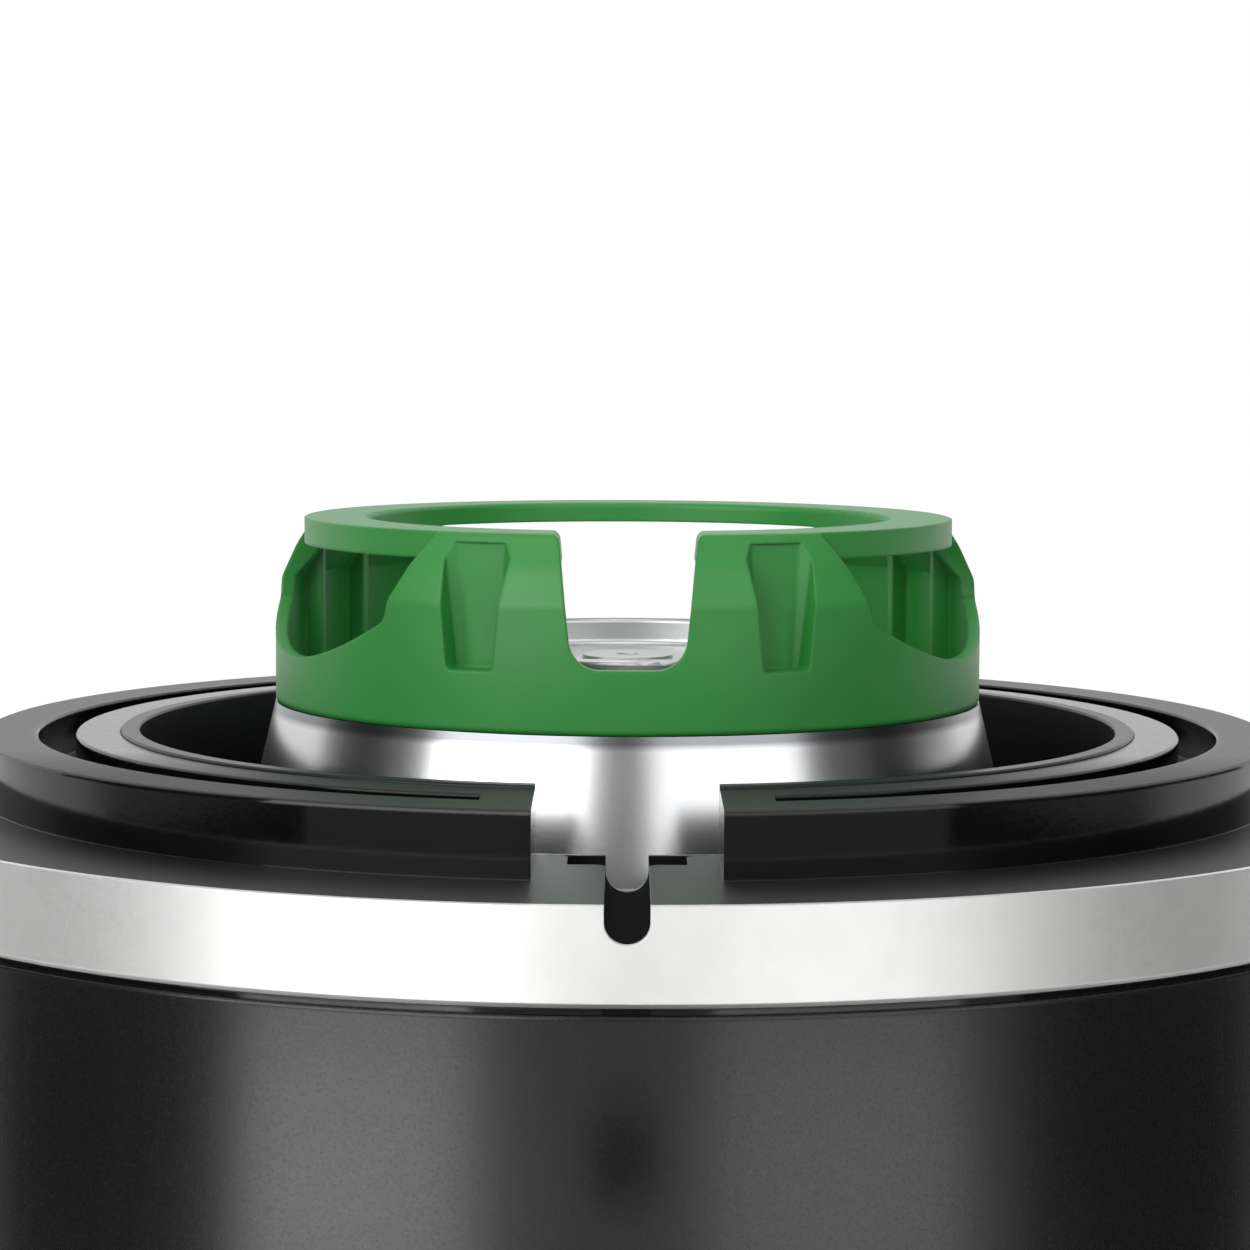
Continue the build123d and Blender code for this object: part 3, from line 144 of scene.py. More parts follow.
# %% [markdown]
# Brushed, spun and extruded metal carries fine lines in the direction in which it was worked.
# Such a line is a noise that is stretched along that direction: around the axis for the chamber,
# and straight for the grille. The stretch is a Mapping node, so the pattern has no seam.
# For rings the height is raised by the distance from the axis, so that they also show on faces that lie flat.

# %% A finish with worked lines
def lined(name, dark, light, stretch, line, rough, spread, depth, edge, sockets, rings=False):
    """Metal with worked lines; stretch is how much longer than wide they are along X, Y and Z."""
    material, tree, shader, place = start_finish(name)
    spot = place
    if rings:
        split = add(tree, "ShaderNodeSeparateXYZ", {0: place})
        flat = add(tree, "ShaderNodeCombineXYZ", {0: split.outputs[0], 1: split.outputs[1]})
        away = add(tree, "ShaderNodeVectorMath", {0: flat.outputs[0]}, operation="LENGTH")
        climb = add(tree, "ShaderNodeMath", {0: split.outputs[2], 1: away.outputs[1]}, operation="ADD")
        spot = add(
            tree, "ShaderNodeCombineXYZ",
            {0: split.outputs[0], 1: split.outputs[1], 2: climb.outputs[0]},
        ).outputs[0]
    worked = add(
        tree, "ShaderNodeMapping",
        {"Vector": spot, "Scale": [1 / share for share in stretch]}, vector_type="POINT",
    )
    lines = add(
        tree, "ShaderNodeTexNoise",
        {"Vector": worked.outputs[0], "Scale": per_mm(line), "Detail": 4.0},
    )
    smear = add(tree, "ShaderNodeTexNoise", {"Vector": place, "Scale": per_mm(45), "Detail": 2.0})
    tint = add(
        tree, "ShaderNodeMix",
        {0: lines.outputs[0], 6: colour(dark), 7: colour(light)}, data_type="RGBA",
    )
    both = add(tree, "ShaderNodeMath", {0: lines.outputs[0], 1: smear.outputs[0]}, operation="ADD")
    gloss = add(
        tree, "ShaderNodeMapRange",
        {"Value": both.outputs[0], "From Max": 2.0, "To Min": rough - spread, "To Max": rough + spread},
    )
    rounded = add(tree, "ShaderNodeBevel", {"Radius": edge / 1000}, samples=4)
    relief = add(
        tree, "ShaderNodeBump",
        {"Height": lines.outputs[0], "Distance": depth / 1000, "Normal": rounded.outputs[0]},
    )
    tree.links.new(tint.outputs[2], shader.inputs["Base Color"])
    tree.links.new(gloss.outputs[0], shader.inputs["Roughness"])
    tree.links.new(relief.outputs[0], shader.inputs["Normal"])
    shader.inputs["Metallic"].default_value = 1.0
    for socket, value in sockets.items():
        shader.inputs[socket].default_value = value
    return material


# %% [markdown]
# The drum is moulded ABS with a satin skin: dark, with long soft reflections of the studio lights.
# The base, the tray and the rear cover have the coarser spark texture that hides scratches.

# %% Black ABS of the drum, the base and the covers
drum_abs = grained(
    "black_abs_satin_moulded", "#0c0d0e", "#101112", 70, 0.6, 0.26, 0.05, 0.005, 0.6, {"IOR": 1.53},
)
dress(drum_abs, "outer_shell")
# spark texture is about 0.3 mm in life; it is drawn at 0.9 mm to show in the picture
base_abs = grained(
    "black_abs_spark_textured", "#141516", "#1b1c1e", 40, 0.9, 0.52, 0.08, 0.035, 0.6, {"IOR": 1.53},
)
dress(base_abs, "rear_cover", "base_plate", "drip_tray", "control_panel")

# %% [markdown]
# The deck around the keg is polished black ABS: its upright walls mirror the ledge at their foot,
# and its flat tops are duller from the lid that rests on them, least on the inner ring and most on the ledge.
# The slope of the face, read from its normal, its distance from the axis and its height choose the gloss.
# The raised front shows duller in the picture than the back, so it is the roughest of the tops.
# The channel for the beer line was never polished, so a mask of its place leaves it matt.
# Places are in metres; a roughness of 0 is a mirror and 1 is matt.

# %% Polished black ABS of the top deck
ring_radius, rim_radius = 0.115, 0.124
ledge_level, ring_level = 0.350, 0.354
front_start, front_end = -0.05, -0.09
channel_half_width, channel_top = 0.0041, 0.3453
steep, level = 0.4, 0.9  # upward share of the normal on a wall and on a top
wall_rough, ring_rough, rim_rough, ledge_rough, front_rough, channel_rough = 0.09, 0.20, 0.38, 0.46, 0.55, 0.9
wall_mirror, top_mirror, channel_mirror = 0.32, 0.5, 0.12  # strength of reflections, 0.5 is usual


def deck_finish():
    material, tree, shader, place = start_finish("black_abs_polished")
    rubbed = add(tree, "ShaderNodeTexNoise", {"Vector": place, "Scale": per_mm(1.2), "Detail": 3.0})
    clouds = add(tree, "ShaderNodeTexNoise", {"Vector": place, "Scale": per_mm(30), "Detail": 2.0})
    facing = add(tree, "ShaderNodeNewGeometry")
    slope = add(tree, "ShaderNodeSeparateXYZ", {0: facing.outputs["Normal"]})
    split = add(tree, "ShaderNodeSeparateXYZ", {0: place})
    flat_place = add(tree, "ShaderNodeCombineXYZ", {0: split.outputs[0], 1: split.outputs[1]})
    away = add(tree, "ShaderNodeVectorMath", {0: flat_place.outputs[0]}, operation="LENGTH")
    ring_gloss = add(
        tree, "ShaderNodeMapRange",
        {
            "Value": away.outputs[1], "From Min": ring_radius, "From Max": rim_radius,
            "To Min": ring_rough, "To Max": rim_rough,
        },
    )
    on_ring = add(
        tree, "ShaderNodeMapRange",
        {"Value": split.outputs[2], "From Min": ledge_level, "From Max": ring_level},
    )
    at_front = add(
        tree, "ShaderNodeMapRange",
        {"Value": split.outputs[1], "From Min": front_start, "From Max": front_end},
    )
    raised_gloss = add(
        tree, "ShaderNodeMix", {0: at_front.outputs[0], 2: ring_gloss.outputs[0], 3: front_rough},
    )
    top_gloss = add(
        tree, "ShaderNodeMix", {0: on_ring.outputs[0], 2: ledge_rough, 3: raised_gloss.outputs[0]},
    )
    flatness = add(
        tree, "ShaderNodeMapRange",
        {
            "Value": slope.outputs[2], "From Min": steep, "From Max": level,
            "To Min": wall_rough, "To Max": top_gloss.outputs[0],
        },
    )
    uneven = add(
        tree, "ShaderNodeMapRange",
        {"Value": rubbed.outputs[0], "To Min": -0.04, "To Max": 0.04},
    )
    gloss = add(tree, "ShaderNodeMath", {0: flatness.outputs[0], 1: uneven.outputs[0]}, operation="ADD")
    beside = add(tree, "ShaderNodeMath", {0: split.outputs[0]}, operation="ABSOLUTE")
    in_width = add(
        tree, "ShaderNodeMath", {0: beside.outputs[0], 1: channel_half_width}, operation="LESS_THAN",
    )
    in_height = add(tree, "ShaderNodeMath", {0: split.outputs[2], 1: channel_top}, operation="LESS_THAN")
    channel = add(
        tree, "ShaderNodeMath", {0: in_width.outputs[0], 1: in_height.outputs[0]}, operation="MULTIPLY",
    )
    dull = add(tree, "ShaderNodeMix", {0: channel.outputs[0], 2: gloss.outputs[0], 3: channel_rough})
    face_mirror = add(
        tree, "ShaderNodeMapRange",
        {
            "Value": slope.outputs[2], "From Min": steep, "From Max": level,
            "To Min": wall_mirror, "To Max": top_mirror,
        },
    )
    mirror = add(
        tree, "ShaderNodeMix", {0: channel.outputs[0], 2: face_mirror.outputs[0], 3: channel_mirror},
    )
    tint = add(
        tree, "ShaderNodeMix",
        {0: clouds.outputs[0], 6: colour("#090a0b"), 7: colour("#0e0f10")}, data_type="RGBA",
    )
    rounded = add(tree, "ShaderNodeBevel", {"Radius": 0.0005}, samples=4)
    relief = add(
        tree, "ShaderNodeBump",
        {"Height": rubbed.outputs[0], "Distance": 0.000006, "Normal": rounded.outputs[0]},
    )
    tree.links.new(tint.outputs[2], shader.inputs["Base Color"])
    tree.links.new(dull.outputs[0], shader.inputs["Roughness"])
    tree.links.new(mirror.outputs[0], shader.inputs["Specular IOR Level"])
    tree.links.new(relief.outputs[0], shader.inputs["Normal"])
    shader.inputs["IOR"].default_value = 1.5
    return material


dress(deck_finish(), "top_deck")

# %% [markdown]
# Three metals meet the eye at the top. The trim band is aluminium, blasted with fine beads and then anodised,
# so it has no lines. The chamber is a pressed aluminium cup, anodised dark, with rings from the press.

# %% Aluminium of the band and the chamber
band_aluminium = grained(
    "satin_anodised_aluminium", "#e6e6e6", "#f0f0f0", 6, 0.7, 0.46, 0.05, 0.006, 0.4, {"Metallic": 1.0},
)
dress(band_aluminium, "trim_band")
chamber_aluminium = lined(
    "dark_anodised_aluminium", "#2a2b2d", "#35363a", (30, 30, 1), 0.6, 0.36, 0.06, 0.006, 0.4,
    {"Metallic": 0.85}, rings=True,
)
dress(chamber_aluminium, "chamber_liner")

# %% [markdown]
# The keg is drawn from sheet. Its outside was polished, which leaves a fine mottle in the mirror,
# and its crown inside the collar kept the satin of the rolled sheet.
# Height, in metres, decides between the two, with a soft change where the collar hides it.
# Close under the collar a soft grey strip is a painted reflection of the collar's underside, drawn as a tint
# in the colour.

# %% Polished and satin sheet of the keg
collar_foot, crown_foot = 0.3640, 0.3665
# heights in metres of the painted reflection, a grey tint just under the collar
painted_reflection_low, painted_reflection_high = 0.3614, 0.3628
polished_rough, satin_rough, mottle_spread = 0.23, 0.38, 0.009


def keg_finish():
    material, tree, shader, place = start_finish("drawn_keg_sheet")
    mottle = add(tree, "ShaderNodeTexNoise", {"Vector": place, "Scale": per_mm(0.6), "Detail": 1.0})
    clouds = add(tree, "ShaderNodeTexNoise", {"Vector": place, "Scale": per_mm(18), "Detail": 2.0})
    split = add(tree, "ShaderNodeSeparateXYZ", {0: place})
    satin = add(
        tree, "ShaderNodeMapRange",
        {
            "Value": split.outputs[2], "From Min": collar_foot, "From Max": crown_foot,
            "To Min": polished_rough, "To Max": satin_rough,
        },
    )
    uneven = add(
        tree, "ShaderNodeMapRange",
        {"Value": mottle.outputs[0], "To Min": -mottle_spread, "To Max": mottle_spread},
    )
    gloss = add(tree, "ShaderNodeMath", {0: satin.outputs[0], 1: uneven.outputs[0]}, operation="ADD")
    bright = add(
        tree, "ShaderNodeMix",
        {0: clouds.outputs[0], 6: colour("#cbccce"), 7: colour("#dadada")}, data_type="RGBA",
    )
    # painted reflection: a grey strip just under the collar stands in for the collar's underside mirrored in
    # the sheet
    painted_reflection_rise = add(
        tree, "ShaderNodeMapRange",
        {"Value": split.outputs[2], "From Min": painted_reflection_low, "From Max": painted_reflection_high},
    )
    painted_reflection_end = add(
        tree, "ShaderNodeMapRange",
        {
            "Value": split.outputs[2], "From Min": collar_foot, "From Max": crown_foot,
            "To Min": 1.0, "To Max": 0.0,
        },
    )
    painted_collar_reflection = add(
        tree, "ShaderNodeMath", {0: painted_reflection_rise.outputs[0], 1: painted_reflection_end.outputs[0]},
        operation="MULTIPLY",
    )
    # the grey mixed in here is the colour of the painted reflection under the collar
    tint = add(
        tree, "ShaderNodeMix",
        {0: painted_collar_reflection.outputs[0], 6: bright.outputs[2], 7: colour("#86888b")}, data_type="RGBA",
    )
    relief = add(tree, "ShaderNodeBump", {"Height": mottle.outputs[0], "Distance": 0.0000001})
    tree.links.new(tint.outputs[2], shader.inputs["Base Color"])
    tree.links.new(gloss.outputs[0], shader.inputs["Roughness"])
    tree.links.new(relief.outputs[0], shader.inputs["Normal"])
    shader.inputs["Metallic"].default_value = 1.0
    return material


dress(keg_finish(), "keg_body", "keg_valve")

# %% [markdown]
# The collar is polypropylene, moulded through in green with a satin surface that scatters light a little.
# A faint flow pattern from the mould runs through the colour, and the grain is finer than the eye separates.

# %% Green polypropylene of the keg's collar
collar_pp = grained(
    "green_polypropylene_moulded", "#2c8436", "#349040", 22, 0.5, 0.42, 0.05, 0.012, 0.9,
    {"IOR": 1.49, "Subsurface Weight": 0.06, "Subsurface Scale": 0.001},
)
dress(collar_pp, "keg_collar")

# %% [markdown]
# The tap and the lever are worked at every glass. The body is glossy moulded plastic,
# the lever is chromed, and its grip is soft black elastomer.

# %% Tap, lever, grip, buttons and window
tap_abs = grained(
    "black_abs_gloss_moulded", "#101112", "#161718", 30, 0.7, 0.20, 0.04, 0.006, 1.0, {"IOR": 1.53},
)
dress(tap_abs, "tap_body")
chrome = grained(
    "chromed_zinc_casting", "#d6d8da", "#e4e5e6", 25, 1.5, 0.09, 0.03, 0.003, 0.6, {"Metallic": 1.0},
)
dress(chrome, "tap_lever", "spout")
grip_rubber = grained(
    "soft_black_elastomer", "#17181a", "#202123", 20, 0.5, 0.62, 0.08, 0.020, 0.8, {"IOR": 1.5},
)
dress(grip_rubber, "lever_grip")
button_caps = grained(
    "metallised_button_cap", "#b2b4b7", "#c3c5c8", 12, 0.5, 0.28, 0.05, 0.005, 0.5, {"Metallic": 0.9},
)
dress(button_caps, "power_button", "cooling_button")
window_acrylic = grained(
    "smoked_acrylic_polished", "#07080b", "#0c0d11", 18, 2.0, 0.05, 0.02, 0.001, 0.3,
    {"IOR": 1.49, "Coat Weight": 0.4},
)
dress(window_acrylic, "display_window")

# %% [markdown]
# The grille over the tray is stainless sheet, brushed from side to side. The feet are soft rubber.
# The screws and pins are zinc-plated steel with the slight yellow and blue cast of the plating.

# %% Stainless grille, rubber feet and plated steel
grille_sheet = lined(
    "brushed_stainless_sheet", "#c4c5c6", "#dadbdb", (50, 1, 1), 0.5, 0.50, 0.07, 0.010, 0.4, {},
)
dress(grille_sheet, "drip_grille")
foot_rubber = grained(
    "moulded_foot_rubber", "#1a1a1b", "#232324", 15, 0.8, 0.75, 0.08, 0.040, 1.0, {"IOR": 1.5},
)
dress(foot_rubber, "rubber_feet")
zinc_plate = grained(
    "zinc_plated_steel", "#a9abb0", "#c0bfb8", 4, 0.4, 0.30, 0.08, 0.006, 0.2, {"Metallic": 1.0},
)
dress(
    zinc_plate, "base_screws", "chassis_screws", "heat_sink_screws", "fan_screws", "tap_screws",
    "lever_pin", "drive_pin",
)
spring_wire = lined(
    "drawn_spring_steel", "#9b9da1", "#b7b9bc", (1, 1, 1), 0.4, 0.26, 0.06, 0.004, 0.1, {},
)
dress(spring_wire, "lever_spring", "valve_spring")

# %% [markdown]
# The rest sits inside. It is never seen from outside, but it shows when the part is opened,
# so each piece still gets the material that it is made of.

# %% Cooling stack
foam = grained(
    "rigid_polyurethane_foam", "#cdbb83", "#e0d09b", 8, 1.2, 0.88, 0.06, 0.150, 0.5, {"IOR": 1.45},
)
dress(foam, "insulation_foam")
machined = lined(
    "machined_aluminium", "#b6b8ba", "#cfd0d1", (1, 30, 1), 0.6, 0.34, 0.06, 0.008, 0.4, {},
)
dress(machined, "cold_block", "heat_sink")
alumina = grained(
    "white_alumina_ceramic", "#dddcd6", "#ebeae5", 10, 0.4, 0.55, 0.06, 0.006, 0.2, {"IOR": 1.7},
)
dress(alumina, "peltier_module")
fan_pbt = grained(
    "black_glass_filled_pbt", "#151617", "#1d1e20", 20, 0.5, 0.48, 0.07, 0.015, 0.4, {"IOR": 1.55},
)
dress(fan_pbt, "fan_frame", "fan_rotor", "power_inlet")

# %% Electrics, pump and hose
cage_steel = lined(
    "galvanised_sheet_steel", "#a3a6a9", "#bcbec0", (3, 1, 1), 6.0, 0.38, 0.10, 0.006, 0.5, {},
)
dress(cage_steel, "power_supply", "chassis_deck", "pump_bracket")
board_mask = grained(
    "green_solder_mask", "#12492a", "#1a5c36", 3, 0.6, 0.35, 0.08, 0.020, 0.2, {"IOR": 1.5},
)
dress(board_mask, "control_board", "display_board")
pin_brass = grained(
    "nickel_plated_brass", "#c2b48a", "#d2c59c", 4, 0.4, 0.24, 0.05, 0.004, 0.2, {"Metallic": 1.0},
)
dress(pin_brass, "inlet_pins")
lead_pvc = grained(
    "black_pvc_jacket", "#131314", "#1a1a1b", 10, 0.5, 0.45, 0.06, 0.008, 0.2, {"IOR": 1.53},
)
dress(lead_pvc, "mains_lead")
motor_can = lined(
    "drawn_motor_can", "#96989b", "#aeb0b3", (40, 1, 1), 0.5, 0.30, 0.06, 0.006, 0.5, {},
)
dress(motor_can, "air_pump_motor")
pump_nylon = grained(
    "grey_nylon_moulded", "#6c7076", "#7a7e84", 14, 0.5, 0.50, 0.06, 0.012, 0.5, {"IOR": 1.53},
)
dress(pump_nylon, "air_pump_head", "air_port")
hose_silicone = grained(
    "milky_silicone_hose", "#c9ccce", "#d9dcdd", 9, 0.6, 0.42, 0.05, 0.006, 0.2,
    {"IOR": 1.41, "Subsurface Weight": 0.3, "Subsurface Scale": 0.003},
)
dress(hose_silicone, "air_hose")
sensor_epoxy = grained(
    "black_epoxy_bead", "#1b1b1c", "#242425", 4, 0.5, 0.40, 0.06, 0.010, 0.3, {"IOR": 1.55},
)
dress(sensor_epoxy, "temperature_sensor")

# %% Valve, jaw and spear
valve_acetal = grained(
    "grey_acetal_moulded", "#a4a6a8", "#b4b6b8", 8, 0.4, 0.38, 0.05, 0.006, 0.4, {"IOR": 1.48},
)
dress(valve_acetal, "pinch_jaw", "keg_spear")
seal_rubber = grained(
    "black_nitrile_seal", "#121213", "#1a1a1b", 5, 0.4, 0.60, 0.06, 0.008, 0.2, {"IOR": 1.52},
)
dress(seal_rubber, "valve_poppet")

# %% [markdown]
# Small details come next. What repeats is made by Geometry Nodes: a tree makes one shape from named sizes,
# sets a copy on every point, makes the copies real and gives them their finish.
# An Array modifier could do the same in a straight line only, while points may lie anywhere.
# The result is kept as one plain mesh that rides on its body.

# %% Geometry Nodes helpers
def start_tree(name, *labels):
    """A tree that takes points and some named lengths in metres."""
    tree = bpy.data.node_groups.new(name, "GeometryNodeTree")
    tree.interface.new_socket("Points", in_out="INPUT", socket_type="NodeSocketGeometry")
    for label in labels:
        tree.interface.new_socket(label, in_out="INPUT", socket_type="NodeSocketFloat")
    tree.interface.new_socket("Copies", in_out="OUTPUT", socket_type="NodeSocketGeometry")
    return tree, tree.nodes.new("NodeGroupInput").outputs


def end_tree(tree, shape, points, turn, material):
    """Sets the shape on the points, makes the copies real and gives them their finish."""
    copies = add(
        tree, "GeometryNodeInstanceOnPoints", {"Points": points, "Instance": shape, "Rotation": turn},
    )
    real = add(tree, "GeometryNodeRealizeInstances", {0: copies.outputs[0]})
    dressed = add(tree, "GeometryNodeSetMaterial", {"Geometry": real.outputs[0], "Material": material})
    leave = tree.nodes.new("NodeGroupOutput")
    tree.links.new(dressed.outputs[0], leave.inputs[0])


def keep_mesh(source, name, body):
    """Keeps what a helper object shows as one plain mesh on a body, and removes the helper."""
    shown = source.evaluated_get(bpy.context.evaluated_depsgraph_get())
    mesh = bpy.data.meshes.new_from_object(shown)
    bpy.data.objects.remove(source)
    piece = bpy.data.objects.new(name, mesh)
    bpy.context.scene.collection.objects.link(piece)
    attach(piece, body)
    print(name, "has", len(mesh.polygons), "faces on", body)
    return piece


def grow(name, tree, points, sizes, body):
    """Runs a tree on bare points."""
    mesh = bpy.data.meshes.new(name + "_points")
    mesh.from_pydata(points, [], [])
    carrier = bpy.data.objects.new(name + "_points", mesh)
    bpy.context.scene.collection.objects.link(carrier)
    maker = carrier.modifiers.new(name, "NODES")
    maker.node_group = tree
    for socket in tree.interface.items_tree:
        if socket.name in sizes:
            maker[socket.identifier] = sizes[socket.name]
    return keep_mesh(carrier, name, body)


# %% [markdown]
# The base is held by pan-head screws with a cross recess, driven from below.
# The CAD screw is a plain head on a shank, so the tree makes a head with a narrower face,
# cuts the cross with a boolean and adds the shank.
# Each screw stands where a CAD screw stands, found from the points of that node.

# %% Cross-head screws under the base
def solid_feet(name, apart):
    """Lowest middle point of each solid of a node; points closer than apart in plan are one solid."""
    groups = []
    for vertex in nodes[name].data.vertices:
        near = [group for group in groups if (vertex.co.xy - group[0].xy).length < apart]
        if near:
            near[0].append(vertex.co)
        else:
            groups.append([vertex.co])
    feet = []
    for group in groups:
        across = [spot.x for spot in group]
        along = [spot.y for spot in group]
        middle = ((min(across) + max(across)) / 2, (min(along) + max(along)) / 2)
        feet.append((*middle, min(spot.z for spot in group)))
    return feet


def screw_tree():
    tree, size = start_tree(
        "cross_head_screw", "Head radius", "Head height", "Shank radius", "Length", "Recess",
    )
    face = add(tree, "ShaderNodeMath", {0: size["Head radius"], 1: 0.78}, operation="MULTIPLY")
    head = add(
        tree, "GeometryNodeMeshCone",
        {
            "Vertices": 32, "Radius Bottom": face.outputs[0], "Radius Top": size["Head radius"],
            "Depth": size["Head height"],
        },
    )
    reach = add(tree, "ShaderNodeMath", {0: size["Recess"], 1: 4.0}, operation="MULTIPLY")
    deep = add(tree, "ShaderNodeMath", {0: size["Head height"], 1: 1.2}, operation="MULTIPLY")
    for long_side in (0, 1):
        sides = [size["Recess"], size["Recess"], deep.outputs[0]]
        sides[long_side] = reach.outputs[0]
        extent = add(tree, "ShaderNodeCombineXYZ", dict(enumerate(sides)))
        bar = add(tree, "GeometryNodeMeshCube", {"Size": extent.outputs[0]})
        head = add(
            tree, "GeometryNodeMeshBoolean",
            {"Mesh 1": head.outputs[0], "Mesh 2": bar.outputs[0]}, operation="DIFFERENCE", solver="EXACT",
        )
    shank = add(
        tree, "GeometryNodeMeshCylinder",
        {"Vertices": 20, "Radius": size["Shank radius"], "Depth": size["Length"]},
    )
    half = add(tree, "ShaderNodeMath", {0: size["Length"], 1: 0.5}, operation="MULTIPLY")
    rise = add(tree, "ShaderNodeMath", {0: half.outputs[0], 1: size["Head height"]}, operation="ADD")
    lift = add(tree, "ShaderNodeCombineXYZ", {2: rise.outputs[0]})
    raised = add(
        tree, "GeometryNodeTransform",
        {"Geometry": shank.outputs[0], "Translation": lift.outputs[0]},
    )
    screw = add(tree, "GeometryNodeJoinGeometry", {0: head.outputs[0]})
    tree.links.new(raised.outputs[0], screw.inputs[0])
    end_tree(tree, screw.outputs[0], size["Points"], (0.0, 0.0, 0.6), zinc_plate)
    return tree


screw_low, screw_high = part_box("base_screws")
head_height = 0.0018
screw_spacing = 0.008  # more than a screw is wide, less than two stand apart
base_screws = grow(
    "cross_head_base_screws", screw_tree(), solid_feet("base_screws", screw_spacing),
    {
        "Head radius": 0.003, "Head height": head_height, "Shank radius": 0.0015,
        "Length": screw_high[2] - screw_low[2] - head_height, "Recess": 0.0009,
    },
    "housing",
)
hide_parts("base_screws")

# %% [markdown]
# The grip of the lever has beads around it, which give hold when it is wet.
# Each bead is a circle swept along a circle. The tree turns it across the machine,
# and the points lie evenly along the grip's axis.

# %% Beads around the lever's grip
def bead_tree():
    tree, size = start_tree("grip_bead", "Ring radius", "Bead radius")
    ring = add(tree, "GeometryNodeCurvePrimitiveCircle", {"Resolution": 64, "Radius": size["Ring radius"]})
    section = add(tree, "GeometryNodeCurvePrimitiveCircle", {"Resolution": 10, "Radius": size["Bead radius"]})
    bead = add(tree, "GeometryNodeCurveToMesh", {0: ring.outputs[0], 1: section.outputs[0]})
    end_tree(tree, bead.outputs[0], size["Points"], (0.0, math.pi / 2, 0.0), grip_rubber)
    return tree


grip_low, grip_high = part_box("lever_grip")
grip_radius = (grip_high[2] - grip_low[2]) / 2
bead_pitch, bead_sink = 0.0024, 0.0001
bead_spots = [
    (bead_pitch * step, (grip_low[1] + grip_high[1]) / 2, (grip_low[2] + grip_high[2]) / 2)
    for step in (-3, -2, -1, 0, 1, 2, 3)
]
grow(
    "lever_grip_beads", bead_tree(), bead_spots,
    {"Ring radius": grip_radius - bead_sink, "Bead radius": 0.0005}, "lever",
)

# %% [markdown]
# Each button carries a plain mark: a broken ring with a bar for power, and a six-armed star for cooling.
# On the real caps such marks are printed and slightly raised. A thin curve with a round section gives that,
# and it is turned into a mesh, so that the mark travels with its button.

# %% Marks on the two buttons
mark_ink = grained(
    "raised_dark_print", "#1d1f22", "#26282b", 6, 0.4, 0.45, 0.05, 0.004, 0.1, {"IOR": 1.5},
)


def button_mark(name, button, body, strokes):
    """Raised lines on a button's front; strokes are lists of sideways and upward millimetres."""
    low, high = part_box(button)
    middle_x = (low[0] + high[0]) / 2
    middle_z = (low[2] + high[2]) / 2
    lines = bpy.data.curves.new(name + "_lines", "CURVE")
    lines.dimensions = "3D"
    lines.bevel_depth = 0.00028
    lines.bevel_resolution = 2
    lines.use_fill_caps = True
    for stroke in strokes:
        line = lines.splines.new("POLY")
        line.points.add(len(stroke) - 1)
        for point, (aside, up) in zip(line.points, stroke):
            point.co = (middle_x + aside / 1000, low[1] + 0.0001, middle_z + up / 1000, 1.0)
    lines.materials.append(mark_ink)
    carrier = bpy.data.objects.new(name + "_lines", lines)
    bpy.context.scene.collection.objects.link(carrier)
    keep_mesh(carrier, name, body)


def around(radius, degrees):
    """Place on a circle, counted from straight up."""
    return (radius * math.sin(math.radians(degrees)), radius * math.cos(math.radians(degrees)))


broken_ring = [around(2.6, 40 + 10 * step) for step in range(29)]
button_mark("power_mark", "power_button", "power_key", [broken_ring, [(0, 0.4), (0, 3.3)]])
star = []
for arm in range(6):
    turn = 60 * arm
    star.append([(0, 0), around(3.2, turn)])
    star.append([around(3.0, turn - 24), around(1.8, turn), around(3.0, turn + 24)])
button_mark("cooling_mark", "cooling_button", "cooling_key", star)

# %% [markdown]
# A valve spring shortens when the poppet is pressed. A rigid coil can't, so a copy of it is shown instead.
# Here a copy of the CAD coil, with a mesh of its own, is shown instead, and it is carried by the keg.

# %% Valve spring copy carried by the keg
valve_coil = bpy.data.objects.new("valve_coil", nodes["valve_spring"].data.copy())
bpy.context.scene.collection.objects.link(valve_coil)
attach(valve_coil, "keg")
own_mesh(valve_coil)
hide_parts("valve_spring")

# %% [markdown]
# The studio: a pale floor that keeps the shadow near the machine and turns to plain white further out,
# where it meets a white surround. Two soft boxes hang left and right of the camera with a gap between them,
# which leaves a dark streak on the keg, and a weaker one lies overhead. Two low boards close to the floor
# show in the drum as two soft stripes, and black cards at the sides keep the edges of drum and keg dark.

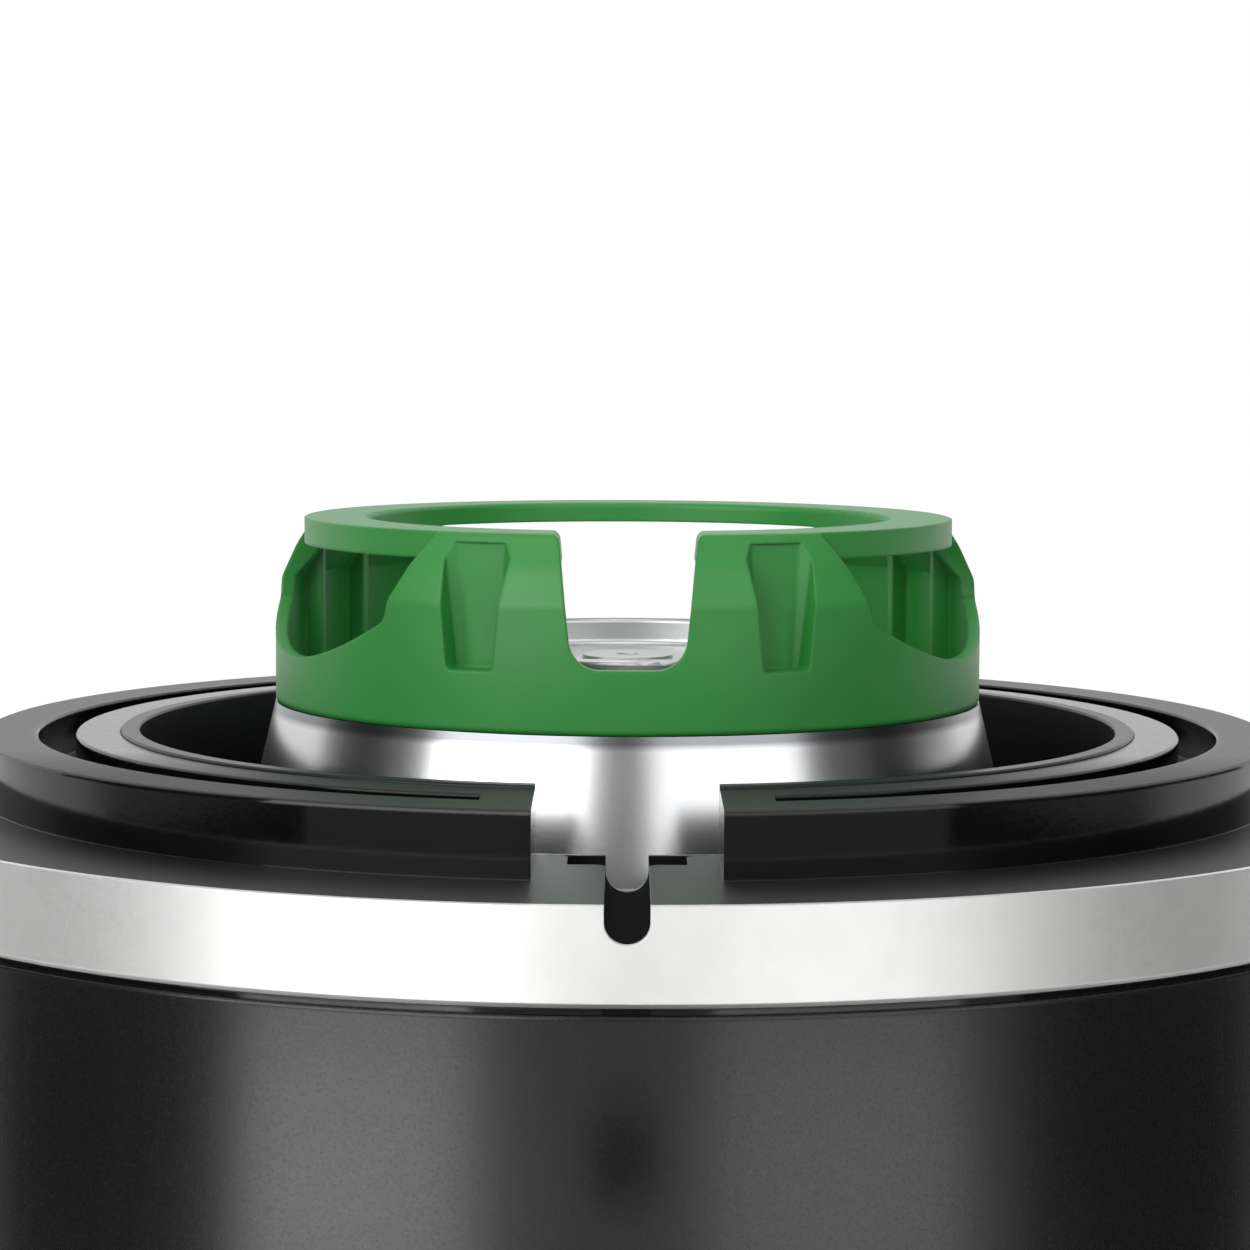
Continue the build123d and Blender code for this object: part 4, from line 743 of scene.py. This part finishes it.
# %% Floor
def stage_floor():
    material, tree, shader, place = start_finish("pale_studio_floor")
    shader.inputs["Base Color"].default_value = colour("#ecebe8")
    shader.inputs["Roughness"].default_value = 0.85
    away = add(tree, "ShaderNodeVectorMath", {0: place}, operation="LENGTH")
    fade = add(
        tree, "ShaderNodeMapRange",
        {"Value": away.outputs[1], "From Min": 0.7, "From Max": 2.2},
        interpolation_type="SMOOTHSTEP",
    )
    split = add(tree, "ShaderNodeSeparateXYZ", {0: place})
    behind = add(
        tree, "ShaderNodeMapRange",
        {"Value": split.outputs[1], "From Min": 0.1, "From Max": 0.9}, interpolation_type="SMOOTHSTEP",
    )
    path = add(tree, "ShaderNodeLightPath")
    mirrored = add(
        tree, "ShaderNodeMath",
        {0: path.outputs["Is Glossy Ray"], 1: path.outputs["Is Transmission Ray"]}, operation="MAXIMUM",
    )
    mirrored_behind = add(
        tree, "ShaderNodeMath",
        {0: mirrored.outputs[0], 1: behind.outputs[0]}, operation="MULTIPLY",
    )
    shown = add(
        tree, "ShaderNodeMath",
        {0: path.outputs["Is Camera Ray"], 1: mirrored_behind.outputs[0]}, operation="MAXIMUM",
    )
    share = add(tree, "ShaderNodeMath", {0: fade.outputs[0], 1: shown.outputs[0]}, operation="MULTIPLY")
    white = add(tree, "ShaderNodeEmission", {"Color": (1.0, 1.0, 1.0, 1.0), "Strength": 1.0})
    mixed = add(
        tree, "ShaderNodeMixShader",
        {0: share.outputs[0], 1: shader.outputs[0], 2: white.outputs[0]},
    )
    tree.links.new(mixed.outputs[0], tree.nodes["Material Output"].inputs["Surface"])
    mesh = bpy.data.meshes.new("studio_floor")
    reach = 8.0
    corners = [(-reach, -reach, 0), (reach, -reach, 0), (reach, reach, 0), (-reach, reach, 0)]
    mesh.from_pydata(corners, [], [(0, 1, 2, 3)])
    mesh.materials.append(material)
    floor = bpy.data.objects.new("studio_floor", mesh)
    bpy.context.scene.collection.objects.link(floor)


stage_floor()

# %% Surround and soft boxes
def surround():
    """White behind the machine, pale above and dim in front; the camera sees white all round."""
    world = bpy.data.worlds.new("white_surround")
    world.use_nodes = True
    bpy.context.scene.world = world
    tree = world.node_tree
    light = tree.nodes["Background"]
    way = add(tree, "ShaderNodeTexCoord").outputs["Generated"]
    split = add(tree, "ShaderNodeSeparateXYZ", {0: way})
    behind = add(
        tree, "ShaderNodeMapRange",
        {"Value": split.outputs[1], "From Min": 0.12, "From Max": 0.30, "To Min": 0.08, "To Max": 1.0},
        interpolation_type="SMOOTHSTEP",
    )
    ceiling = add(
        tree, "ShaderNodeMapRange",
        {"Value": split.outputs[2], "From Min": 0.40, "From Max": 0.85, "To Min": 0.0, "To Max": 0.35},
        interpolation_type="SMOOTHSTEP",
    )
    room = add(tree, "ShaderNodeMath", {0: behind.outputs[0], 1: ceiling.outputs[0]}, operation="MAXIMUM")
    path = add(tree, "ShaderNodeLightPath")
    strength = add(
        tree, "ShaderNodeMath",
        {0: room.outputs[0], 1: path.outputs["Is Camera Ray"]}, operation="MAXIMUM",
    )
    tree.links.new(strength.outputs[0], light.inputs["Strength"])
    light.inputs["Color"].default_value = (1.0, 1.0, 1.0, 1.0)


def soft_box(name, place, target, width, height, power, lights_matt=True):
    """One rectangular lamp that looks at the machine; a board may show in glossy surfaces only."""
    lamp = bpy.data.lights.new(name, "AREA")
    lamp.shape = "RECTANGLE"
    lamp.size = width
    lamp.size_y = height
    lamp.energy = power
    holder = bpy.data.objects.new(name, lamp)
    holder.location = place
    holder.rotation_mode = "QUATERNION"
    holder.rotation_quaternion = (Vector(target) - Vector(place)).to_track_quat("-Z", "Y")
    holder.visible_camera = False
    holder.visible_diffuse = lights_matt
    bpy.context.scene.collection.objects.link(holder)


def black_flag(name, x, front, back, low, high):
    """Black card at one side that only reflections see."""
    material, _, shader, _ = start_finish(name)
    shader.inputs["Base Color"].default_value = colour("#050505")
    shader.inputs["Roughness"].default_value = 1.0
    mesh = bpy.data.meshes.new(name)
    corners = [(x, front, low), (x, back, low), (x, back, high), (x, front, high)]
    mesh.from_pydata(corners, [], [(0, 1, 2, 3)])
    mesh.materials.append(material)
    card = bpy.data.objects.new(name, mesh)
    for rays in ("visible_camera", "visible_diffuse", "visible_shadow", "visible_transmission"):
        setattr(card, rays, False)
    bpy.context.scene.collection.objects.link(card)


surround()
for side, x, keg_back in (("left", -0.75, 0.24), ("right", 0.75, 0.55)):
    black_flag(side + "_drum_flag", x, -0.60, 0.02, 0.0, 0.26)
    black_flag(side + "_keg_flag", x, -0.15, keg_back, 0.44, 0.80)
machine_middle = (0.0, 0.0, 0.33)
drum_front = (0.0, -0.16, 0.30)
soft_box("left_soft_box", (-0.76, -0.98, 0.90), machine_middle, 1.18, 0.85, 12.4)
soft_box("right_soft_box", (0.61, -0.98, 0.90), machine_middle, 1.10, 0.85, 5.4)
soft_box("left_bounce_board", (-0.61, -0.88, 0.082), drum_front, 0.60, 0.15, 1.45, lights_matt=False)
soft_box("right_bounce_board", (0.49, -0.96, 0.082), drum_front, 0.64, 0.15, 0.8, lights_matt=False)
soft_box("top_soft_box", (0.0, -0.1, 1.8), machine_middle, 0.6, 0.6, 2.4)

# %% [markdown]
# The camera stands where the picture was taken: a little above the rim, three quarters of a metre
# from the axis, looking slightly down. The place, the lens and the small roll were worked out
# from the ellipses of the rim and band.

# %% Camera
frame_pixels = 1250
lens_pixels = 3658.0
camera = bpy.data.cameras.new("studio_camera")
camera.sensor_width = 36.0
camera.lens = lens_pixels / frame_pixels * camera.sensor_width
camera_holder = bpy.data.objects.new("studio_camera", camera)
look_down = 0.0837
roll = 0.0044
stand = Matrix.Translation((-0.00058, -0.7634, 0.44345))
tilt = Matrix.Rotation(math.pi / 2 - look_down, 4, "X")
camera_holder.matrix_world = stand @ tilt @ Matrix.Rotation(roll, 4, "Z")
bpy.context.scene.collection.objects.link(camera_holder)
bpy.context.scene.camera = camera_holder
bpy.context.scene.view_settings.view_transform = "Standard"
print("lens", round(camera.lens, 2), "mm")
